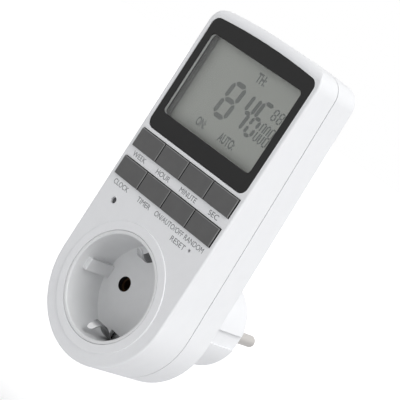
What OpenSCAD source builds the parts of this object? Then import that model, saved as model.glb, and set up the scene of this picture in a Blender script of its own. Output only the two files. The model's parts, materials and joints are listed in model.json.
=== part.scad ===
/* Plug-in digital timer switch with an earthed socket outlet.
   Drawn depths run from the front face towards the wall (+Y); drawn heights run up (+Z)
   from the axis of the socket outlet. placed() moves the drawing so that the origin is
   the centre of the plug face, midway between the two plug pins. */

/* [Body] */
// Width of the body
body_w = 58.6; // [56:0.1:71]
// Height of the top of the arch above the socket axis
body_top = 106.3; // [98:0.1:128]
// Depth from the front face to the back face at the socket axis
body_depth = 30.9; // [29:0.1:38]
// Depth of the parting line at the socket axis
seam_depth = 17.4; // [15:0.1:21]
// Angle by which the parting line and the back lean forward towards the top
back_lean = 3.35; // [0:0.05:4]
// Depth from the front face to the face of the plug
plug_face_depth = 63; // [58:0.5:72]
// Height of the plug axis above the socket axis
plug_rise = 1.2; // [0:0.1:3]
// Radius of the shallow arch at the top
top_arch_r = 275; // [200:5:400]
// Radius of the two top corners
top_corner_r = 7; // [5:0.5:9]
// Rounding of the front edge
front_edge_r = 1.2; // [0.6:0.1:1.6]
// Rounding of the back edge
back_edge_r = 1.6; // [0.6:0.1:1.7]

/* [Walls] */
// Thickness of the front wall
front_wall = 2; // [1.8:0.1:2.4]
// Thickness of the side walls
side_wall = 1.8; // [1.6:0.1:2.2]
// Thickness of the back wall
back_wall = 2; // [1.6:0.1:2.6]
// Height of the tongue that locates the rear shell in the front shell
tongue_h = 1.2; // [0.8:0.1:1.5]
// Thickness of that tongue
tongue_t = 1; // [0.8:0.1:1.4]

/* [Socket outlet] */
// Diameter of the recess that takes a plug
socket_d = 39; // [32.5:0.1:40]
// Depth of that recess
socket_depth = 18.2; // [15:0.1:20]
// Wall of the recess insert
cup_wall = 1.35; // [1.2:0.05:2]
// Floor thickness of the recess insert
cup_floor = 2; // [1.6:0.1:3]
// Extra radius of the insert's flange behind the front wall
cup_flange = 1.5; // [1:0.1:1.8]
// Distance between the two pin holes, and between the two plug pins
pin_pitch = 19; // [18:0.1:20]
// Diameter of the pin holes
pin_hole_d = 5.8; // [5.2:0.1:6.4]
// Diameter of the raised collar round the outlet
collar_d = 48.7; // [46:0.1:52]
// Height of that collar
collar_h = 0.4; // [0.2:0.1:0.6]
// Width of the two guide ribs in the recess
guide_rib_w = 5; // [4:0.1:5.4]
// Height of the guide ribs from the recess wall
guide_rib_h = 2; // [1:0.1:2.2]
// Depth at which the guide ribs start
guide_rib_start = 4.5; // [3:0.5:8]

/* [Earth parts] */
// Width of the earth spring strip
earth_w = 5; // [4:0.1:6]
// Thickness of the earth spring strip
earth_t = 0.6; // [0.5:0.1:0.8]
// Distance of the strip's inner bend from the socket axis
earth_bend_r = 14.1; // [13.5:0.1:15]
// Depth of that bend
earth_bend_depth = 6.8; // [5:0.1:9]

/* [Plug] */
// Diameter of the plug neck
neck_d = 37; // [36:0.1:44.4]
// Rounding of the plug neck's end
neck_edge_r = 2.5; // [1:0.1:2.6]
// Wall thickness of the plug neck
neck_wall = 2.2; // [2:0.1:3]
// Diameter of a plug pin
pin_d = 4.8; // [4:0.1:5]
// Length of a plug pin from the plug face
pin_l = 19; // [17:0.5:20]
// Width of the guide grooves in the plug neck
groove_w = 6.2; // [5.6:0.1:7]
// Depth of the guide grooves
groove_d = 1.3; // [0.8:0.1:1.4]
// Length of the guide grooves and of the earth channels from the plug face
groove_l = 18; // [14:0.5:20]

/* [Display] */
// Margin between the display frame and the body side
frame_margin = 2.2; // [1.8:0.1:3]
// Height of the display frame's lower edge above the socket axis
frame_low = 54.6; // [52:0.1:60]
// Margin between the display frame and the top of the body
frame_top_margin = 4; // [3.6:0.1:6]
// Corner radius of the display frame
frame_corner_r = 3.2; // [2:0.1:4]
// Thickness of the display frame
frame_t = 1.2; // [1:0.1:1.4]
// Border of the display frame beside the window
window_side = 3.25; // [3:0.05:5]
// Border of the display frame below the window
window_low = 7.2; // [6:0.1:9]
// Border of the display frame above the window
window_high = 6.85; // [6:0.05:9]
// Thickness of the clear window
lens_t = 1.2; // [1:0.1:1.3]
// Depth of the front of the liquid crystal glass
lcd_depth = 5; // [4:0.1:5.5]
// Thickness of the liquid crystal glass
lcd_t = 2.8; // [2:0.1:3]

/* [Keys] */
// Height of a key
key_h = 7.5; // [6:0.1:9]
// Gap between two keys
key_split = 0.4; // [0.3:0.05:0.8]
// Gap between the display frame and the upper row of keys
key_row_gap = 1.7; // [1.5:0.1:2.5]
// Distance between the centres of the two rows
key_row_pitch = 11.95; // [11:0.05:12.5]
// How far the keys stand out of the front face
key_proud = 0.7; // [0.6:0.1:1]
// Travel of a key
key_travel = 0.6; // [0.3:0.1:0.6]

/* [Small openings] */
// Distance of the lamp and of the reset hole from the body side
spot_margin = 8.7; // [8:0.1:10]
// Distance of the lamp below the lower row of keys
lamp_drop = 8.35; // [7.5:0.05:9.5]
// Diameter of the lamp hole
lamp_hole_d = 2.6; // [2:0.1:2.8]
// Distance of the reset hole below the lower row of keys
reset_drop = 5.25; // [4.8:0.05:6.5]
// Diameter of the reset hole
reset_hole_d = 1.3; // [0.9:0.1:1.6]
// Travel of the reset button
reset_travel = 0.3; // [0.2:0.05:0.4]

/* [Boards] */
// Depth of the front of the control board
control_depth = 9; // [8.8:0.1:9.4]
// Thickness of the control board
control_t = 1.2; // [1:0.1:1.4]
// Depth of the front of the power board
power_depth = 14; // [13.8:0.1:14.4]
// Thickness of the power board
power_t = 1.6; // [1.2:0.1:1.8]
// Height of the power board's lower edge above the socket axis
power_low = 25; // [24.5:0.1:26]
// Distance of the power board's upper edge from the top of the body
power_top_margin = 20.3; // [18:0.1:24]

/* [Clearances] */
// Gap round pieces that are dropped into an opening
drop_gap = 0.1; // [0.05:0.01:0.2]
// Gap round a key in its opening
key_gap = 0.12; // [0.1:0.01:0.2]
// Gap between a key's lip and the front wall
lip_gap = 0.05; // [0.03:0.01:0.1]
// Radial gap round pins, screws and stems in their holes
pin_gap = 0.02; // [0.01:0.01:0.05]
// Radial gap round the sliding reset stem
stem_gap = 0.05; // [0.02:0.01:0.1]
// Gap between stacked inner pieces
stack_gap = 0.05; // [0.03:0.01:0.1]

/* [Hidden] */
$fn = 64;
eps = 0.01;
far = 200;

half_w = body_w / 2;
inner_half = half_w - side_wall;
lean_rate = tan(back_lean);
function seam_at(z) = seam_depth - lean_rate * z;

// Outlet insert
socket_r = socket_d / 2;
cup_r = socket_r + cup_wall;
cup_back = socket_depth + cup_floor;
cup_hole_r = cup_r + drop_gap;
cup_flange_t = 1.5;
cup_flange_front = front_wall + stack_gap;
guide_rib_x = socket_r - guide_rib_h;
board_round_cup = 1.2;

// Carrier and female contacts behind the pin holes
carrier_front = cup_back + 1;
carrier_t = 2;
carrier_back = carrier_front + carrier_t;
pin_x = pin_pitch / 2;
contact_in_r = pin_d / 2 + 0.05;
contact_out_r = contact_in_r + 0.95;
contact_front = carrier_front - 0.2;
contact_back = plug_face_depth - 25;
contact_slot_w = 0.6;
contact_slot_end = contact_back - 4;
tube_r = contact_out_r + drop_gap + 1.2;
tube_end = contact_back - 1;
tab_t = 1;
tab_half_w = 2;
tab_z = 11;
tab_end = tab_z + 1.5;

// Earth spring, earth link and the earth strip of the plug
spring_rest_r = socket_r - 0.9;
spring_front = 2;
spring_step = 0.75;
spring_front_span = 7;
spring_back_span = 9.5;
floor_slot_l = 3.5;
floor_slot_gap = 0.4;
link_half_w = 2;
link_t = 0.8;
link_slot_gap = 0.3;

// Plug
neck_r = neck_d / 2;
bore_r = neck_r - neck_wall;
neck_flange = 2;
neck_flange_t = 1.2;
lip_t = neck_edge_r;
lip_r = bore_r - 1.7;
insert_back = plug_face_depth - 9;
pin_r = pin_d / 2;
pin_core_r = pin_r - 0.4;
pin_sink = 0.3;
pin_root = plug_face_depth - 17;
pin_tip_r = 1.6;
pin_flange_r = pin_r + 1;
pin_flange_t = 1.2;
strip_t = 0.8;
strip_end = plug_face_depth - 1.5;
strip_front = plug_face_depth - 19;
channel_w = earth_w + 1;
channel_r = bore_r + 0.6;
pin_tab_t = 1;
pin_tab_half_w = 1;
pin_tab_low = plug_rise + 5.5;
pin_tab_high = plug_rise + 7.5;
pin_tab_end = pin_x + 4.8;

// Display
frame_half = half_w - frame_margin;
frame_top = body_top - frame_top_margin;
window_half = frame_half - window_side;
window_z0 = frame_low + window_low;
window_z1 = frame_top - window_high;
window_r = 1.6;
lens_lap = 1;
lens_sink = 0.05;
holder_wall = 1;
holder_ledge = 0.3;
holder_front = frame_t + lens_t + stack_gap;
holder_back = control_depth - drop_gap;
connector_h = 2;
connector_edge = 0.3;
connector_side = 3;

// Keys
key_w = (2 * frame_half - 3 * key_split) / 4;
key_z_top = frame_low - key_row_gap - key_h / 2;
key_low = key_z_top - key_row_pitch - key_h / 2;
key_lip = 0.9;
key_lip_front = front_wall + lip_gap;
key_lip_back = key_lip_front + 1.2;
stem_r = 2.2;
stem_end = 4.4;
dome_r = 3;
dome_top = stem_end + key_travel + drop_gap;
dome_step = 1;
dome_crown_r = 2.4;
mat_front = 7.8;
mat_back = control_depth - stack_gap;
mat_side = 0.5;
mat_above = 1;
mat_below = 2;
function key_x(i) = (i % 4 - 1.5) * (key_w + key_split);
function key_z(i) = key_z_top - floor(i / 4) * key_row_pitch;

// Lamp and reset button
spot_x = half_w - spot_margin;
lamp_at = [-spot_x, key_low - lamp_drop];
lamp_sink = 0.5;
lamp_r = lamp_hole_d / 2 - stack_gap;
lamp_rim_r = 1.8;
lamp_rim_front = 6.2;
lamp_back = 7;
lamp_lead_x = 0.7;
lamp_lead_r = 0.25;
reset_at = [spot_x, key_low - reset_drop];
reset_stem_r = 0.9;
reset_front = front_wall + 0.3;
reset_end = 6.9;
switch_w = 4.4;
switch_front = 5.5;

// Posts and screws
post_r = 1.9;
post_floor = 1;
small_screw_r = 0.8;
small_screw_l = 4.6;
small_head_r = 1.8;
small_head_t = 1.2;
screw_hole_gap = 0.3;
control_back = control_depth + control_t;
control_low = 18;
control_posts = [for (s = [-1, 1]) each [[s * (inner_half - 3.1), 21], [s * 10, body_top - 4.9]]];
board_inset = side_wall + drop_gap + tongue_t + 0.2;
power_back = power_depth + power_t;
power_half = inner_half - tongue_t - drop_gap - 0.4;
power_top = body_top - power_top_margin;
power_posts = [for (s = [-1, 1]) each
  [[s * (power_half - 2.2), power_low + 3.5], [s * (power_half - 2.2), power_top - 2.5]]];
tongue_root = 0.3;
boss_r = 2.6;
boss_ring = inner_half - 2.4;
boss_places = [for (s = [-1, 1]) each
  [[s * boss_ring * cos(45), -boss_ring * sin(45)], [s * (half_w - 7.8), body_top - 6]]];
rear_boss_r = 3.8;
case_screw_r = 1.4;
case_head_r = 2.6;
case_head_t = 2;
head_seat = 4;
head_gap = 0.2;
screw_bite = 7.3;
bore_end = 8;

// Parts on the boards: middle [width, height], and size [width, depth, height] or radius and length
chip_at = [2, frame_low + 23.4];
chip_r = 6;
chip_t = 1.3;
crystal_at = [-12, frame_low + 17.4];
crystal_r = 1;
crystal_l = 6;
link_at = [-12, frame_low + 4.65];
link_size = [16, 0, 2.5];
link_pins = 6;
link_pitch = 2.54;
part_lead = 0.2;
parts_back = power_back + part_lead;
relay_at = [9.15, power_low + 12.25];
relay_size = [20.3, 9.8, 15.5];
film_at = [-11.5, power_low + 11.5];
film_size = [18, 8.5, 13];
can_at = [14.5, power_low + 23];
can_r = 4;
can_l = 12;
varistor_at = [3, power_low + 29];
varistor_r = 5;
varistor_t = 3.5;
fuse_at = [-12, power_low + 41.5];
resistor_at = [6, power_low + 38];
resistor_pitch = 4;
diode_at = [17.5, power_low + 38];
diode_pitch = 3.5;
lead_r = 0.35;
battery_at = [-12.5, power_low + 29];
battery_r = 7.4;
battery_t = 5.6;
strap_gap = 0.15;
strap_t = 0.5;
strap_half_w = 2;

// Insulated leads
wire_r = 1;
wire_depth = 25;
wire_z = power_low + 2;
live_x = pin_tab_end - 1;
live_z = plug_rise + 6.5;

// ---- helpers ----

module placed() translate([0, -plug_face_depth, -plug_rise]) children();

// Extrudes a shape drawn in width and height from one depth to another
module slab(d0, d1) translate([0, d1, 0]) rotate([90, 0, 0]) linear_extrude(d1 - d0) children();

// Straight round bar along the depth
module rod(x, z, r, d0, d1) translate([x, d1, z]) rotate([90, 0, 0]) cylinder(r = r, h = d1 - d0);

// Box between two corners given as [width, depth, height]
module block(a, b) translate(a) cube(b - a);

// Box of a size [width, depth, height] with its middle at a place [width, height] and its front at a depth
module box_at(at, size, front)
  translate([at[0] - size[0] / 2, front, at[1] - size[2] / 2]) cube(size);

// Crossed slots in the end of a screw or a can
module crossed(at, depth, size) for (a = [0, 90])
  translate([at[0], depth, at[1]]) rotate([0, a, 0]) cube(size, center = true);

// Everything behind the leaning plane that crosses the socket axis at a depth
module behind(depth, thick = far) leaning(depth) translate([-far / 2, 0, -far]) cube([far, thick, 2 * far]);

// Everything ahead of that plane
module ahead(depth) leaning(depth) translate([-far / 2, -far, -far]) cube([far, far, 2 * far]);

module leaning(depth) translate([0, depth, 0]) rotate([back_lean, 0, 0]) children();

// Points along an arc
function arc(c, r, a0, a1, n) = [for (i = [0 : n]) let (a = a0 + (a1 - a0) * i / n)
  [c[0] + r * cos(a), c[1] + r * sin(a)]];

// Two round corners joined by a shallow arch, moved inwards by a distance
function crown(w, top, arch_r, corner_r, inset) = let (
    cx = w - corner_r,
    turn = asin(cx / (arch_r - corner_r)),
    cz = top - arch_r + (arch_r - corner_r) * cos(turn),
    arch = arc([0, top - arch_r], arch_r - inset, 90 - turn, 90 + turn, 8))
  concat(arc([cx, cz], corner_r - inset, 0, 90 - turn, 9), [for (i = [1 : 7]) arch[i]],
    arc([-cx, cz], corner_r - inset, 90 + turn, 180, 9));

// Body outline, moved inwards by a distance
module outline(inset = 0) polygon(concat(arc([0, 0], half_w - inset, 180, 360, 48),
  crown(half_w, body_top, top_arch_r, top_corner_r, inset)));

// Display frame outline, grown by a distance
module frame_outline(grow = 0) {
  cx = frame_half - frame_corner_r;
  cz = frame_low + frame_corner_r;
  r = frame_corner_r + grow;
  polygon(concat(arc([-cx, cz], r, 180, 270, 9), arc([cx, cz], r, 270, 360, 9),
    crown(frame_half, frame_top, top_arch_r, frame_corner_r, -grow)));
}

// Display window outline, grown by a distance
module window_outline(grow = 0, r = 1.6) {
  w = window_half + grow;
  z0 = window_z0 - grow;
  z1 = window_z1 + grow;
  translate([-w + r, z0]) square([2 * (w - r), z1 - z0]);
  translate([-w, z0 + r]) square([2 * w, z1 - z0 - 2 * r]);
  for (s = [-1, 1], z = [z0 + r, z1 - r]) translate([s * (w - r), z]) circle(r);
}

// Round bar along the depth with a rounded far end
module rounded_rod(x, z, r, d0, d1, edge) {
  l = d1 - d0;
  translate([x, d0, z]) rotate([-90, 0, 0]) rotate_extrude() {
    square([r - edge, l]);
    square([r, l - edge]);
    intersection() {
      translate([r - edge, l - edge]) circle(edge);
      square([r, l]);
    }
  }
}

// Insulated wire through a list of points
module wire(points, r) {
  for (i = [0 : len(points) - 2]) {
    v = points[i + 1] - points[i];
    translate(points[i]) rotate([0, acos(v[2] / norm(v)), atan2(v[1], v[0])])
      cylinder(r = r, h = norm(v), $fn = 24);
  }
  for (i = [1 : 1 : len(points) - 2]) translate(points[i]) sphere(r, $fn = 24);
}

// Small self-tapping screw with its head towards the back (way 1) or the front (way -1)
module board_screw(p, seat, way) {
  tip = seat - way * small_screw_l;
  top = seat + way * small_head_t;
  rod(p[0], p[1], small_screw_r, min(seat, tip), max(seat, tip));
  difference() {
    rod(p[0], p[1], small_head_r, min(seat, top), max(seat, top));
    crossed(p, top, [2, 1, 0.5]);
  }
}

// ---- casing ----

module front_shell() color("gainsboro") placed() difference() {
  union() {
    difference() {
      hull() {
        for (a = [30 : 30 : 90])
          slab(front_edge_r * (1 - sin(a)), front_edge_r + eps) outline(front_edge_r * (1 - cos(a)));
        slab(front_edge_r, body_depth) outline();
      }
      slab(front_wall, far) outline(side_wall);
    }
    rod(0, 0, collar_d / 2, -collar_h, front_wall / 2);
    for (p = control_posts) rod(p[0], p[1], post_r, front_wall - eps, control_depth);
    for (p = boss_places) rod(p[0], p[1], boss_r, front_wall - eps, body_depth - eps);
  }
  behind(seam_depth);
  rod(0, 0, cup_hole_r, -far, front_wall + eps);
  slab(-eps, frame_t + stack_gap) frame_outline(drop_gap);
  slab(0, front_wall + eps) window_outline(lens_lap + drop_gap);
  for (i = [0, 4])
    block([-frame_half - key_gap, -eps, key_z(i) - key_h / 2 - key_gap],
      [frame_half + key_gap, front_wall + eps, key_z(i) + key_h / 2 + key_gap]);
  rod(lamp_at[0], lamp_at[1], lamp_hole_d / 2, -eps, front_wall + eps);
  rod(reset_at[0], reset_at[1], reset_hole_d / 2, -eps, front_wall + eps);
  for (p = control_posts)
    rod(p[0], p[1], small_screw_r + pin_gap, front_wall + post_floor, control_depth + eps);
  for (p = boss_places) rod(p[0], p[1], case_screw_r + pin_gap, seam_at(p[1]) - bore_end, far);
}

module rear_shell() color("whitesmoke") placed() difference() {
  union() {
    difference() {
      hull() {
        for (a = [30 : 30 : 90]) intersection() {
          slab(0, far) outline(back_edge_r * (1 - cos(a)));
          behind(body_depth - back_edge_r * (1 - sin(a)) - eps, eps);
        }
        intersection() {
          slab(0, far) outline();
          behind(seam_depth, body_depth - seam_depth - back_edge_r);
        }
      }
      difference() {
        slab(0, far) outline(side_wall);
        behind(body_depth - back_wall);
      }
    }
    // locating tongue
    difference() {
      union() {
        intersection() {
          slab(0, far) outline(side_wall + drop_gap);
          behind(seam_depth - tongue_h, tongue_h + tongue_root);
        }
        intersection() {
          slab(0, far) outline(side_wall - tongue_root);
          behind(seam_depth, tongue_h);
        }
      }
      slab(-eps, far) outline(side_wall + drop_gap + tongue_t);
      for (p = boss_places) rod(p[0], p[1], boss_r + 2 * drop_gap, 0, seam_at(p[1]) + tongue_root);
    }
    // posts and bosses, down to the middle of the back wall
    difference() {
      union() {
        for (p = power_posts) rod(p[0], p[1], post_r, power_depth + power_t, body_depth);
        for (p = boss_places) rod(p[0], p[1], rear_boss_r, seam_at(p[1]) + head_seat - 2, far);
        for (p = boss_places) difference() {
          rod(p[0], p[1], boss_r, 0, far);
          ahead(seam_depth);
        }
      }
      behind(body_depth - back_wall / 2);
    }
  }
  rod(0, plug_rise, neck_r + drop_gap, 0, far);
  for (p = power_posts) rod(p[0], p[1], small_screw_r + pin_gap, 0, power_depth + power_t + small_screw_l);
  for (p = boss_places) {
    rod(p[0], p[1], case_screw_r + head_gap, 0, far);
    rod(p[0], p[1], case_head_r + head_gap, seam_at(p[1]) + head_seat, far);
  }
}

// Tube that carries the plug, seated with a flange inside the back wall
module plug_neck() color("whitesmoke") placed() difference() {
  union() {
    rounded_rod(0, plug_rise, neck_r, seam_depth, plug_face_depth, neck_edge_r);
    difference() {
      rod(0, plug_rise, neck_r + neck_flange, 0, plug_face_depth - groove_l);
      behind(body_depth - back_wall - stack_gap);
    }
  }
  ahead(body_depth - back_wall - neck_flange_t);
  rod(0, plug_rise, bore_r, 0, plug_face_depth - lip_t);
  rod(0, plug_rise, lip_r, 0, far);
  for (p = boss_places) rod(p[0], p[1], rear_boss_r + drop_gap, 0, body_depth);
  for (s = [-1, 1]) {
    block([s * (neck_r + 1) - 1 - groove_d, plug_face_depth - groove_l, plug_rise - groove_w / 2],
      [s * (neck_r + 1) + 1 + groove_d, far, plug_rise + groove_w / 2]);
    // channel that holds the earth strip, and the way in for its cross bar
    above(s, plug_rise, channel_r, far, channel_w / 2, plug_face_depth - groove_l - 1, far);
    above(s, plug_rise, bore_r - 1, channel_r + strip_t + 0.3, channel_w / 2, strip_front - 0.2,
      strip_front + strip_t + 0.2);
  }
}

module case_screws() color("silver") placed() for (p = boss_places) {
  seat = seam_at(p[1]) + head_seat;
  rod(p[0], p[1], case_screw_r, seam_at(p[1]) - screw_bite, seat + eps);
  difference() {
    rod(p[0], p[1], case_head_r, seat, seat + case_head_t);
    crossed(p, seat + case_head_t, [3, 2, 0.8]);
  }
}

// ---- display ----

module display_frame() color([0.2, 0.2, 0.2]) placed() difference() {
  slab(0, frame_t) frame_outline();
  slab(-eps, frame_t + eps) window_outline();
}

// Pane behind the frame, with a raised part that fills the frame's opening
module display_window() color([0.8, 0.85, 0.85, 0.4]) placed() {
  slab(frame_t + stack_gap, frame_t + lens_t) window_outline(lens_lap);
  slab(lens_sink, frame_t + lens_t) window_outline(-stack_gap);
}

module lcd_holder() color([0.4, 0.4, 0.4]) placed() difference() {
  slab(holder_front, holder_back) window_outline(lens_lap + holder_wall);
  slab(0, far) window_outline(holder_ledge);
  slab(lcd_depth - stack_gap, far) window_outline(lens_lap, 0.5);
}

module lcd_glass() color([0.57, 0.58, 0.56]) placed()
  slab(lcd_depth, lcd_depth + lcd_t) window_outline(lens_lap - drop_gap, 0.4);

module lcd_connectors() color("deeppink") placed()
  for (z = [window_z0 + connector_edge, window_z1 - connector_edge - connector_h])
    block([-window_half + connector_side, lcd_depth + lcd_t + stack_gap, z],
      [window_half - connector_side, control_depth - stack_gap, z + connector_h]);

// ---- keys ----

// Cap with a lip above and below behind the front wall, and the stem that presses the dome
module key_cap(i) {
  x0 = key_x(i) - key_w / 2;
  z0 = key_z(i) - key_h / 2;
  color([0.36, 0.36, 0.36]) placed() {
    block([x0, -key_proud, z0], [x0 + key_w, key_lip_back, z0 + key_h]);
    block([x0, key_lip_front, z0 - key_lip], [x0 + key_w, key_lip_back, z0 + key_h + key_lip]);
    rod(key_x(i), key_z(i), stem_r, key_lip_front, stem_end);
  }
}

module key_week() key_cap(0);
module key_hour() key_cap(1);
module key_minute() key_cap(2);
module key_second() key_cap(3);
module key_clock() key_cap(4);
module key_timer() key_cap(5);
module key_mode() key_cap(6);
module key_random() key_cap(7);

module key_mat() color("dimgray") placed() {
  block([-frame_half + mat_side, mat_front, key_low - mat_below],
    [frame_half - mat_side, mat_back, frame_low - key_row_gap + mat_above]);
  for (i = [0 : 7]) {
    rod(key_x(i), key_z(i), dome_r, dome_top + dome_step, mat_front + eps);
    rod(key_x(i), key_z(i), dome_crown_r, dome_top, mat_front + eps);
  }
}

module reset_button() color([0.22, 0.22, 0.22]) placed()
  rod(reset_at[0], reset_at[1], reset_stem_r, reset_front, reset_end);

module reset_switch() color([0.15, 0.15, 0.15]) placed() difference() {
  box_at(reset_at, [switch_w, mat_back - switch_front, switch_w], switch_front);
  rod(reset_at[0], reset_at[1], reset_stem_r + stem_gap, 0, reset_end + reset_travel + 0.2);
}

// Its dome stands in the hole of the front wall
module lamp() color([0.25, 0.25, 0.26]) placed() {
  translate([lamp_at[0], lamp_sink + lamp_r, lamp_at[1]]) sphere(lamp_r);
  rod(lamp_at[0], lamp_at[1], lamp_r, lamp_sink + lamp_r, lamp_back);
  rod(lamp_at[0], lamp_at[1], lamp_rim_r, lamp_rim_front, lamp_back);
  for (s = [-1, 1])
    rod(lamp_at[0] + s * lamp_lead_x, lamp_at[1], lamp_lead_r, lamp_back - eps, control_depth - stack_gap);
}

// ---- control board ----

module control_board() color("seagreen") placed() difference() {
  intersection() {
    slab(control_depth, control_back) outline(board_inset);
    block([-far, 0, control_low], [far, far, far]);
  }
  rod(0, 0, cup_r + board_round_cup, 0, far);
  for (p = boss_places) rod(p[0], p[1], boss_r + 0.5, 0, far);
  for (p = control_posts) rod(p[0], p[1], small_screw_r + screw_hole_gap, 0, far);
}

module control_board_screws() color("silver") placed()
  for (p = control_posts) board_screw(p, control_back, 1);

module controller_chip() color([0.1, 0.1, 0.1]) placed()
  rounded_rod(chip_at[0], chip_at[1], chip_r, control_back, control_back + chip_t, 1);

module crystal() color("silver") placed()
  translate([crystal_at[0], control_back + crystal_r + stack_gap, crystal_at[1]]) {
    cylinder(r = crystal_r, h = crystal_l);
    for (s = [-1, 1]) translate([s * 0.4, 0, -2.5]) cylinder(r = 0.2, h = 2.5 + eps);
  }

module board_link() color([0.12, 0.12, 0.12]) placed() difference() {
  gap = power_depth - control_back;
  box_at(link_at, link_size + [0, gap, 0], control_back);
  for (i = [0 : link_pins - 1])
    box_at(link_at + [(i - (link_pins - 1) / 2) * link_pitch, -link_size[2] / 2], [0.7, gap - 1.6, 0.8],
      control_back + 0.8);
}

// ---- power board ----

module power_board() color("darkgoldenrod") placed() difference() {
  block([-power_half, power_depth, power_low], [power_half, power_back, power_top]);
  for (p = power_posts) rod(p[0], p[1], small_screw_r + screw_hole_gap, 0, far);
}

module power_board_screws() color("silver") placed()
  for (p = power_posts) board_screw(p, power_depth, -1);

module relay() color([0.1, 0.25, 0.55]) placed() {
  box_at(relay_at, relay_size, parts_back);
  for (s = [-1, 1], t = [-1, 1])
    box_at(relay_at + [s * 8.5, t * 6], [0.6, part_lead, 1], power_back);
}

module film_capacitor() color("goldenrod") placed() box_at(film_at, film_size, parts_back);

module electrolytic_capacitor() color([0.12, 0.12, 0.2]) placed()
  translate([can_at[0], parts_back + can_r, can_at[1]]) difference() {
    cylinder(r = can_r, h = can_l);
    for (a = [0, 90]) rotate([0, 0, a]) translate([0, 0, can_l]) cube([6, 0.3, 0.6], center = true);
  }

module varistor() color([0.15, 0.35, 0.7]) placed() {
  lift = 1.5;
  rod(varistor_at[0], varistor_at[1], varistor_r, parts_back + lift, parts_back + lift + varistor_t);
  for (s = [-1, 1]) rod(varistor_at[0] + s * 3, varistor_at[1], lead_r, power_back, parts_back + lift + 0.5);
}

// Round part that lies on the board, with a bent lead at each end
module lying_part(at, r, l, reach) {
  y = parts_back + r + 0.3;
  translate([at[0] - l / 2, y, at[1]]) rotate([0, 90, 0]) cylinder(r = r, h = l, $fn = 32);
  for (s = [-1, 1]) {
    bend_x = at[0] + s * (l / 2 + reach);
    wire([[at[0] + s * (l / 2 - eps), y, at[1]], [bend_x, y, at[1]], [bend_x, power_back, at[1]]], lead_r);
  }
}

module fuse() color("burlywood") placed() lying_part(fuse_at, 2, 9, 2);

module resistors() color("tan") placed()
  for (i = [0 : 2]) lying_part(resistor_at + [0, i * resistor_pitch], 1.2, 6.5, 1.5);

module rectifier_diodes() color([0.1, 0.1, 0.1]) placed()
  for (i = [0 : 3]) lying_part(diode_at + [0, i * diode_pitch], 1.3, 4.5, 1.2);

module backup_battery() color("silver") placed()
  rounded_rod(battery_at[0], battery_at[1], battery_r, parts_back, parts_back + battery_t, 0.6);

module battery_strap() color("darkgray") placed() {
  outer = battery_r + strap_gap + strap_t;
  top = parts_back + battery_t + strap_gap;
  for (s = [-1, 1])
    box_at(battery_at + [s * (outer - strap_t / 2), 0],
      [strap_t, top + strap_t - power_back, 2 * strap_half_w], power_back);
  box_at(battery_at, [2 * outer, strap_t, 2 * strap_half_w], top);
}

// ---- socket outlet ----

module socket_insert() color("white") placed() difference() {
  union() {
    rod(0, 0, cup_r, -collar_h, carrier_back);
    rod(0, 0, cup_r + cup_flange, cup_flange_front, cup_flange_front + cup_flange_t);
  }
  difference() {
    rod(0, 0, socket_r, -far, socket_depth);
    for (s = [-1, 1]) block([min(s * guide_rib_x, s * far), guide_rib_start, -guide_rib_w / 2],
      [max(s * guide_rib_x, s * far), far, guide_rib_w / 2]);
  }
  rod(0, 0, socket_r + 0.1, cup_back, far);
  for (s = [-1, 1]) {
    rod(s * pin_x, 0, pin_hole_d / 2, 0, far);
    above(s, 0, socket_r - floor_slot_l, socket_r - eps, earth_w / 2 + floor_slot_gap,
      socket_depth - eps, far);
  }
}

module contact_carrier() color([0.16, 0.13, 0.12]) placed() difference() {
  union() {
    rod(0, 0, socket_r, carrier_front, carrier_back);
    for (s = [-1, 1]) rod(s * pin_x, 0, tube_r, carrier_front, tube_end);
  }
  for (s = [-1, 1]) rod(s * pin_x, 0, contact_out_r + drop_gap, 0, far);
  box_at([0, 0], [2 * (link_half_w + link_slot_gap), far, link_t + 2 * link_slot_gap], 0);
}

// Split contact sleeve with a solder tab, on one side
module contact(side) {
  difference() {
    rod(side * pin_x, 0, contact_out_r, contact_front, contact_back);
    rod(side * pin_x, 0, contact_in_r, 0, far);
    box_at([side * pin_x, 0], [contact_slot_w, contact_slot_end, far], 0);
  }
  difference() {
    block([side * pin_x - tab_half_w, contact_back - eps, -contact_out_r],
      [side * pin_x + tab_half_w, contact_back + tab_t, tab_end]);
    rod(side * pin_x, 0, contact_in_r, 0, far);
  }
}

module contact_line() color("gold") placed() contact(1);

// The neutral contact runs on to the neutral pin of the plug
module contact_neutral() color("gold") placed() {
  contact(-1);
  block([-pin_x - tab_half_w, contact_back + tab_t - eps, contact_out_r - 0.9],
    [-pin_x + tab_half_w, pin_root, contact_out_r]);
}

// Distance of the earth spring's middle from the socket axis, at a depth
function spring_reach(d) = let (
    span = d < earth_bend_depth ? spring_front_span : spring_back_span,
    turn = min(90, 90 * abs(d - earth_bend_depth) / span))
  spring_rest_r - (spring_rest_r - earth_bend_r) * pow(cos(turn), 2);

// Two bent arms in the recess, joined by a bar behind its floor
module earth_spring() color("silver") placed() {
  bar_front = cup_back + 0.1;
  bar_back = bar_front + earth_t;
  steps = concat([for (d = [spring_front : spring_step : bar_back]) d], [bar_back]);
  last = len(steps) - 1;
  profile = concat([for (i = [0 : last]) [steps[i], spring_reach(steps[i]) - earth_t / 2]],
    [for (i = [last : -1 : 0]) [steps[i], spring_reach(steps[i]) + earth_t / 2]]);
  for (s = [0, 1]) mirror([0, 0, s]) translate([-earth_w / 2, 0, 0])
    rotate([90, 0, 90]) linear_extrude(earth_w) polygon(profile);
  box_at([0, 0], [earth_w, earth_t, 2 * spring_reach(bar_back)], bar_front);
}

module earth_link() color("silver") placed()
  block([-link_half_w, cup_back + 0.1 + earth_t, -link_t / 2], [link_half_w, strip_front, link_t / 2]);

// ---- plug ----

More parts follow.
